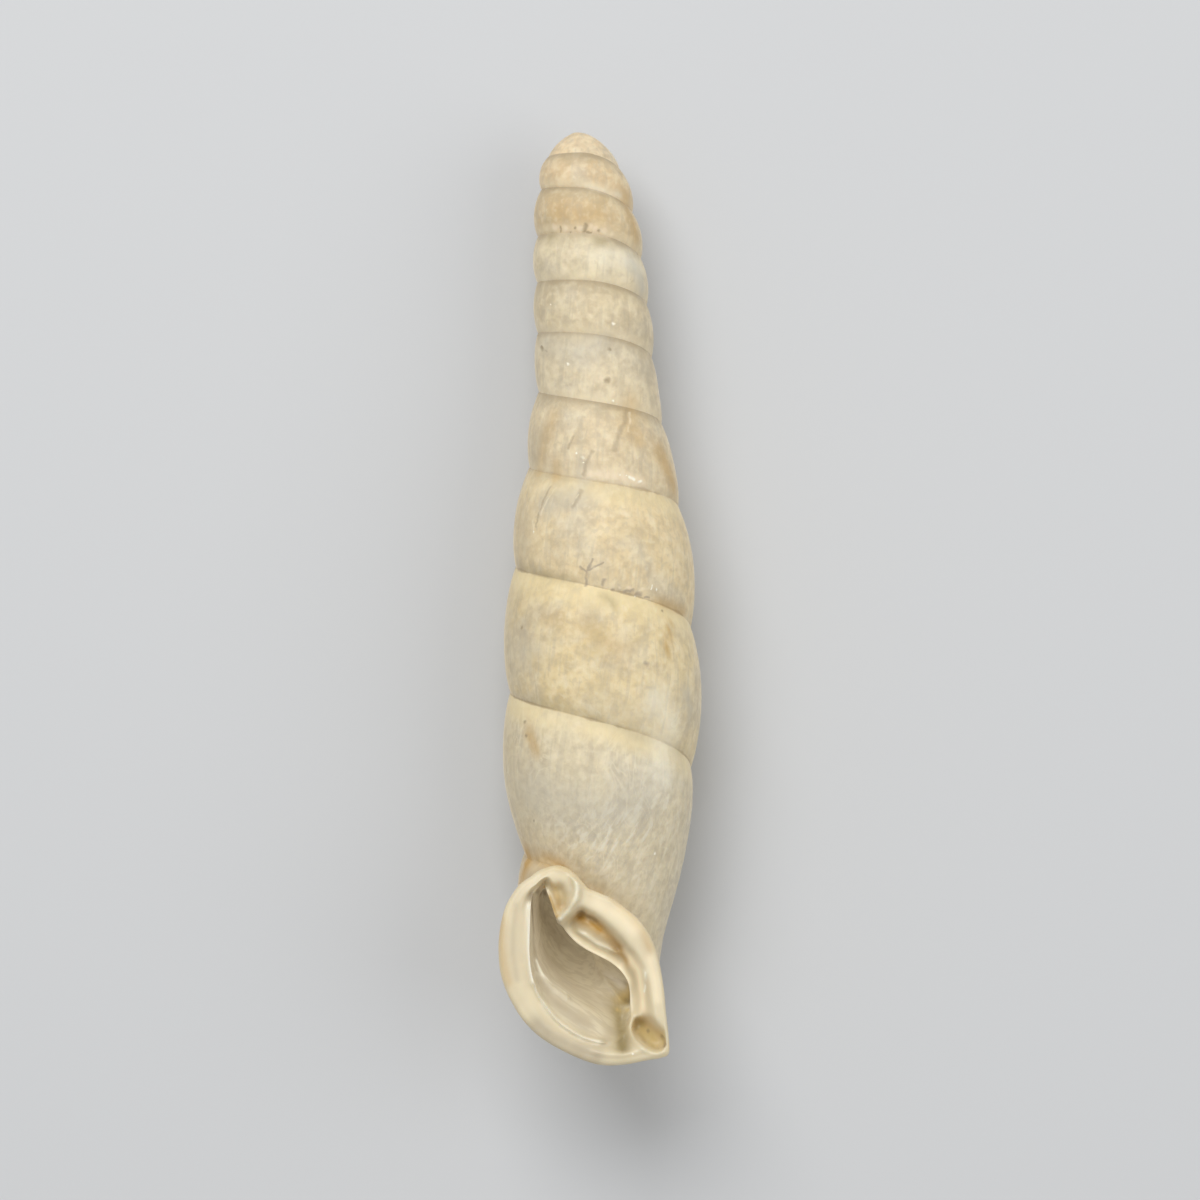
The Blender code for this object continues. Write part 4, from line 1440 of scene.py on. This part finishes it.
shaken = {"Vector": place, "Scale": WANDER_SCALE, "Detail": 2.0}
wandering = place.node("ShaderNodeTexNoise", None, shaken, 1)
wandering = wandering.vector("SUBTRACT", (0.5, 0.5, 0.5)).scaled(2.0 * WANDER)
marked_place = place.vector("ADD", wandering)


def gap_to(first, last):
    """The distance to a short line in space, or to its middle where it is hardly longer than wide."""
    way = last - first
    if way.length < SHORTEST_LINE * PIXEL:
        return marked_place.vector("DISTANCE", tuple((first + last) / 2.0), 1)
    from_first = marked_place.vector("SUBTRACT", tuple(first))
    share = from_first.vector("DOT_PRODUCT", tuple(way / way.length_squared), 1)
    held = share.node("ShaderNodeClamp", None, {0: share})
    reached = held.node("ShaderNodeVectorMath", {"operation": "SCALE"}, {0: tuple(way), "Scale": held})
    return from_first.vector("DISTANCE", reached, 1)


for name, marks in MARKS.items():
    nearest = None
    for x0, y0, x1, y1, width in marks:
        gap = gap_to(landed(x0, y0), landed(x1, y1)) * (1.0 / (width * PIXEL))
        nearest = gap if nearest is None else nearest.math("MINIMUM", nearest, gap)
    mark_colour, strength, softness = MARK_COLOURS[name]
    colour = colour.tinted(mark_colour, nearest.fade(softness, MARK_CORE) * strength)
print(len(PAINT), "paints and", len(MARK_COLOURS), "kinds of marks")

# %% [markdown]
# ## Gloss, relief and the light that shines through the wall
#
# The lip is polished, and the rest is satin with a soft sheen from its worn outer layer. Lines and wrinkles
# are low enough for a Bump node, and their heights are given in millimetres. The wall is thin enough to let
# light through: a little scattering under the surface softens it, and a weak glow inside the mouth and on
# its cream folds stands in for the daylight that comes through the shell.

# %% Set the shader
SATIN, SPECKLE_ROUGHNESS, LIP_POLISH = 0.52, 0.14, 0.22
LIP_SMOOTHNESS = 0.85
CREAM_GLOW = 1.1
LINE_HEIGHT, SPECKLE_HEIGHT, MOTTLE_HEIGHT = 0.014, 0.009, 0.018
WRINKLE_HEIGHT, STREAK_HEIGHT = 0.024, 0.006
EVERYWHERE = {
    "Emission Strength": 0.15,
    "Sheen Weight": 0.55,
    "Sheen Roughness": 0.28,
    "Sheen Tint": (1.0, 0.88, 0.70, 1.0),
    "Subsurface Weight": 0.25,
    "Subsurface Radius": (1.0, 0.75, 0.45),
    "Subsurface Scale": 0.35 * MM,
}

shader = net.nodes["Principled BSDF"]
roughness = SATIN + SPECKLE_ROUGHNESS * speckle - LIP_POLISH * lip
relief = LINE_HEIGHT * lines + SPECKLE_HEIGHT * speckle + MOTTLE_HEIGHT * mottle
relief = relief + WRINKLE_HEIGHT * (wrinkles * wrinkled)
relief = relief * (1.0 - LIP_SMOOTHNESS * lip) + STREAK_HEIGHT * (striae * within)
bump = relief.node("ShaderNodeBump", None, {"Height": relief * MM, "Strength": 1.0, "Distance": 1.0})
glow = colour.scaled(within + CREAM_GLOW * attribute["cream"])
varying = {"Base Color": colour, "Roughness": roughness, "Normal": bump, "Emission Color": glow}
for socket, wire in varying.items():
    net.links.new(wire.socket, shader.inputs[socket])
set_sockets(shader, EVERYWHERE)
print("the shell's material has", len(net.nodes), "nodes")

# %% [markdown]
# ## The studio
#
# A plain pale floor and two broad soft lamps, one large overhead from the upper left and one to fill from
# the right.

# %% Floor, lamps and sky
FLOOR_SIDE = 1.2
PAPER = {"Base Color": (0.62, 0.63, 0.64, 1.0), "Roughness": 0.9}
SKY = {"Color": (1.0, 1.0, 1.0, 1.0), "Strength": 0.45}

floor_skin = bmesh.new()
bmesh.ops.create_grid(floor_skin, x_segments=1, y_segments=1, size=FLOOR_SIDE / 2)
floor = as_object("floor", floor_skin)
paper = bpy.data.materials.new("pale paper")
paper.use_nodes = True
set_sockets(paper.node_tree.nodes["Principled BSDF"], PAPER)
floor.data.materials.append(paper)
floor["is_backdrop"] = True


def soft_lamp(name, place, side, watts):
    light = bpy.data.lights.new(name, "AREA")
    light.size = side * MM
    light.energy = watts
    lamp = bpy.data.objects.new(name, light)
    lamp.location = Vector(place) * MM
    lamp.rotation_euler = (Vector(place) - AIM).to_track_quat("Z", "Y").to_euler()
    bpy.context.scene.collection.objects.link(lamp)


soft_lamp("overhead lamp", place=(-38, 85, 140), side=110, watts=0.18)
soft_lamp("fill lamp", place=(115, -10, 115), side=120, watts=0.05)
world = bpy.data.worlds.new("studio")
world.use_nodes = True
set_sockets(world.node_tree.nodes["Background"], SKY)
bpy.context.scene.world = world
bpy.context.scene.view_settings.view_transform = "Standard"
print("a floor", FLOOR_SIDE, "m wide,", len(bpy.data.lights), "lamps and a pale sky")

# %% [markdown]
# ## Finish
#
# The finished piece's box is printed, as the imported model's was, so that the two can be compared.

# %% Gather the sizes, print the finished box and finish
finished_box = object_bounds()
boxes = {"packed": packed_box, "finished": finished_box}
sizes = {name: [list(corner) for corner in box] for name, box in boxes.items()}
print("finished box in mm:", [[round(c / MM, 2) for c in corner] for corner in finished_box])
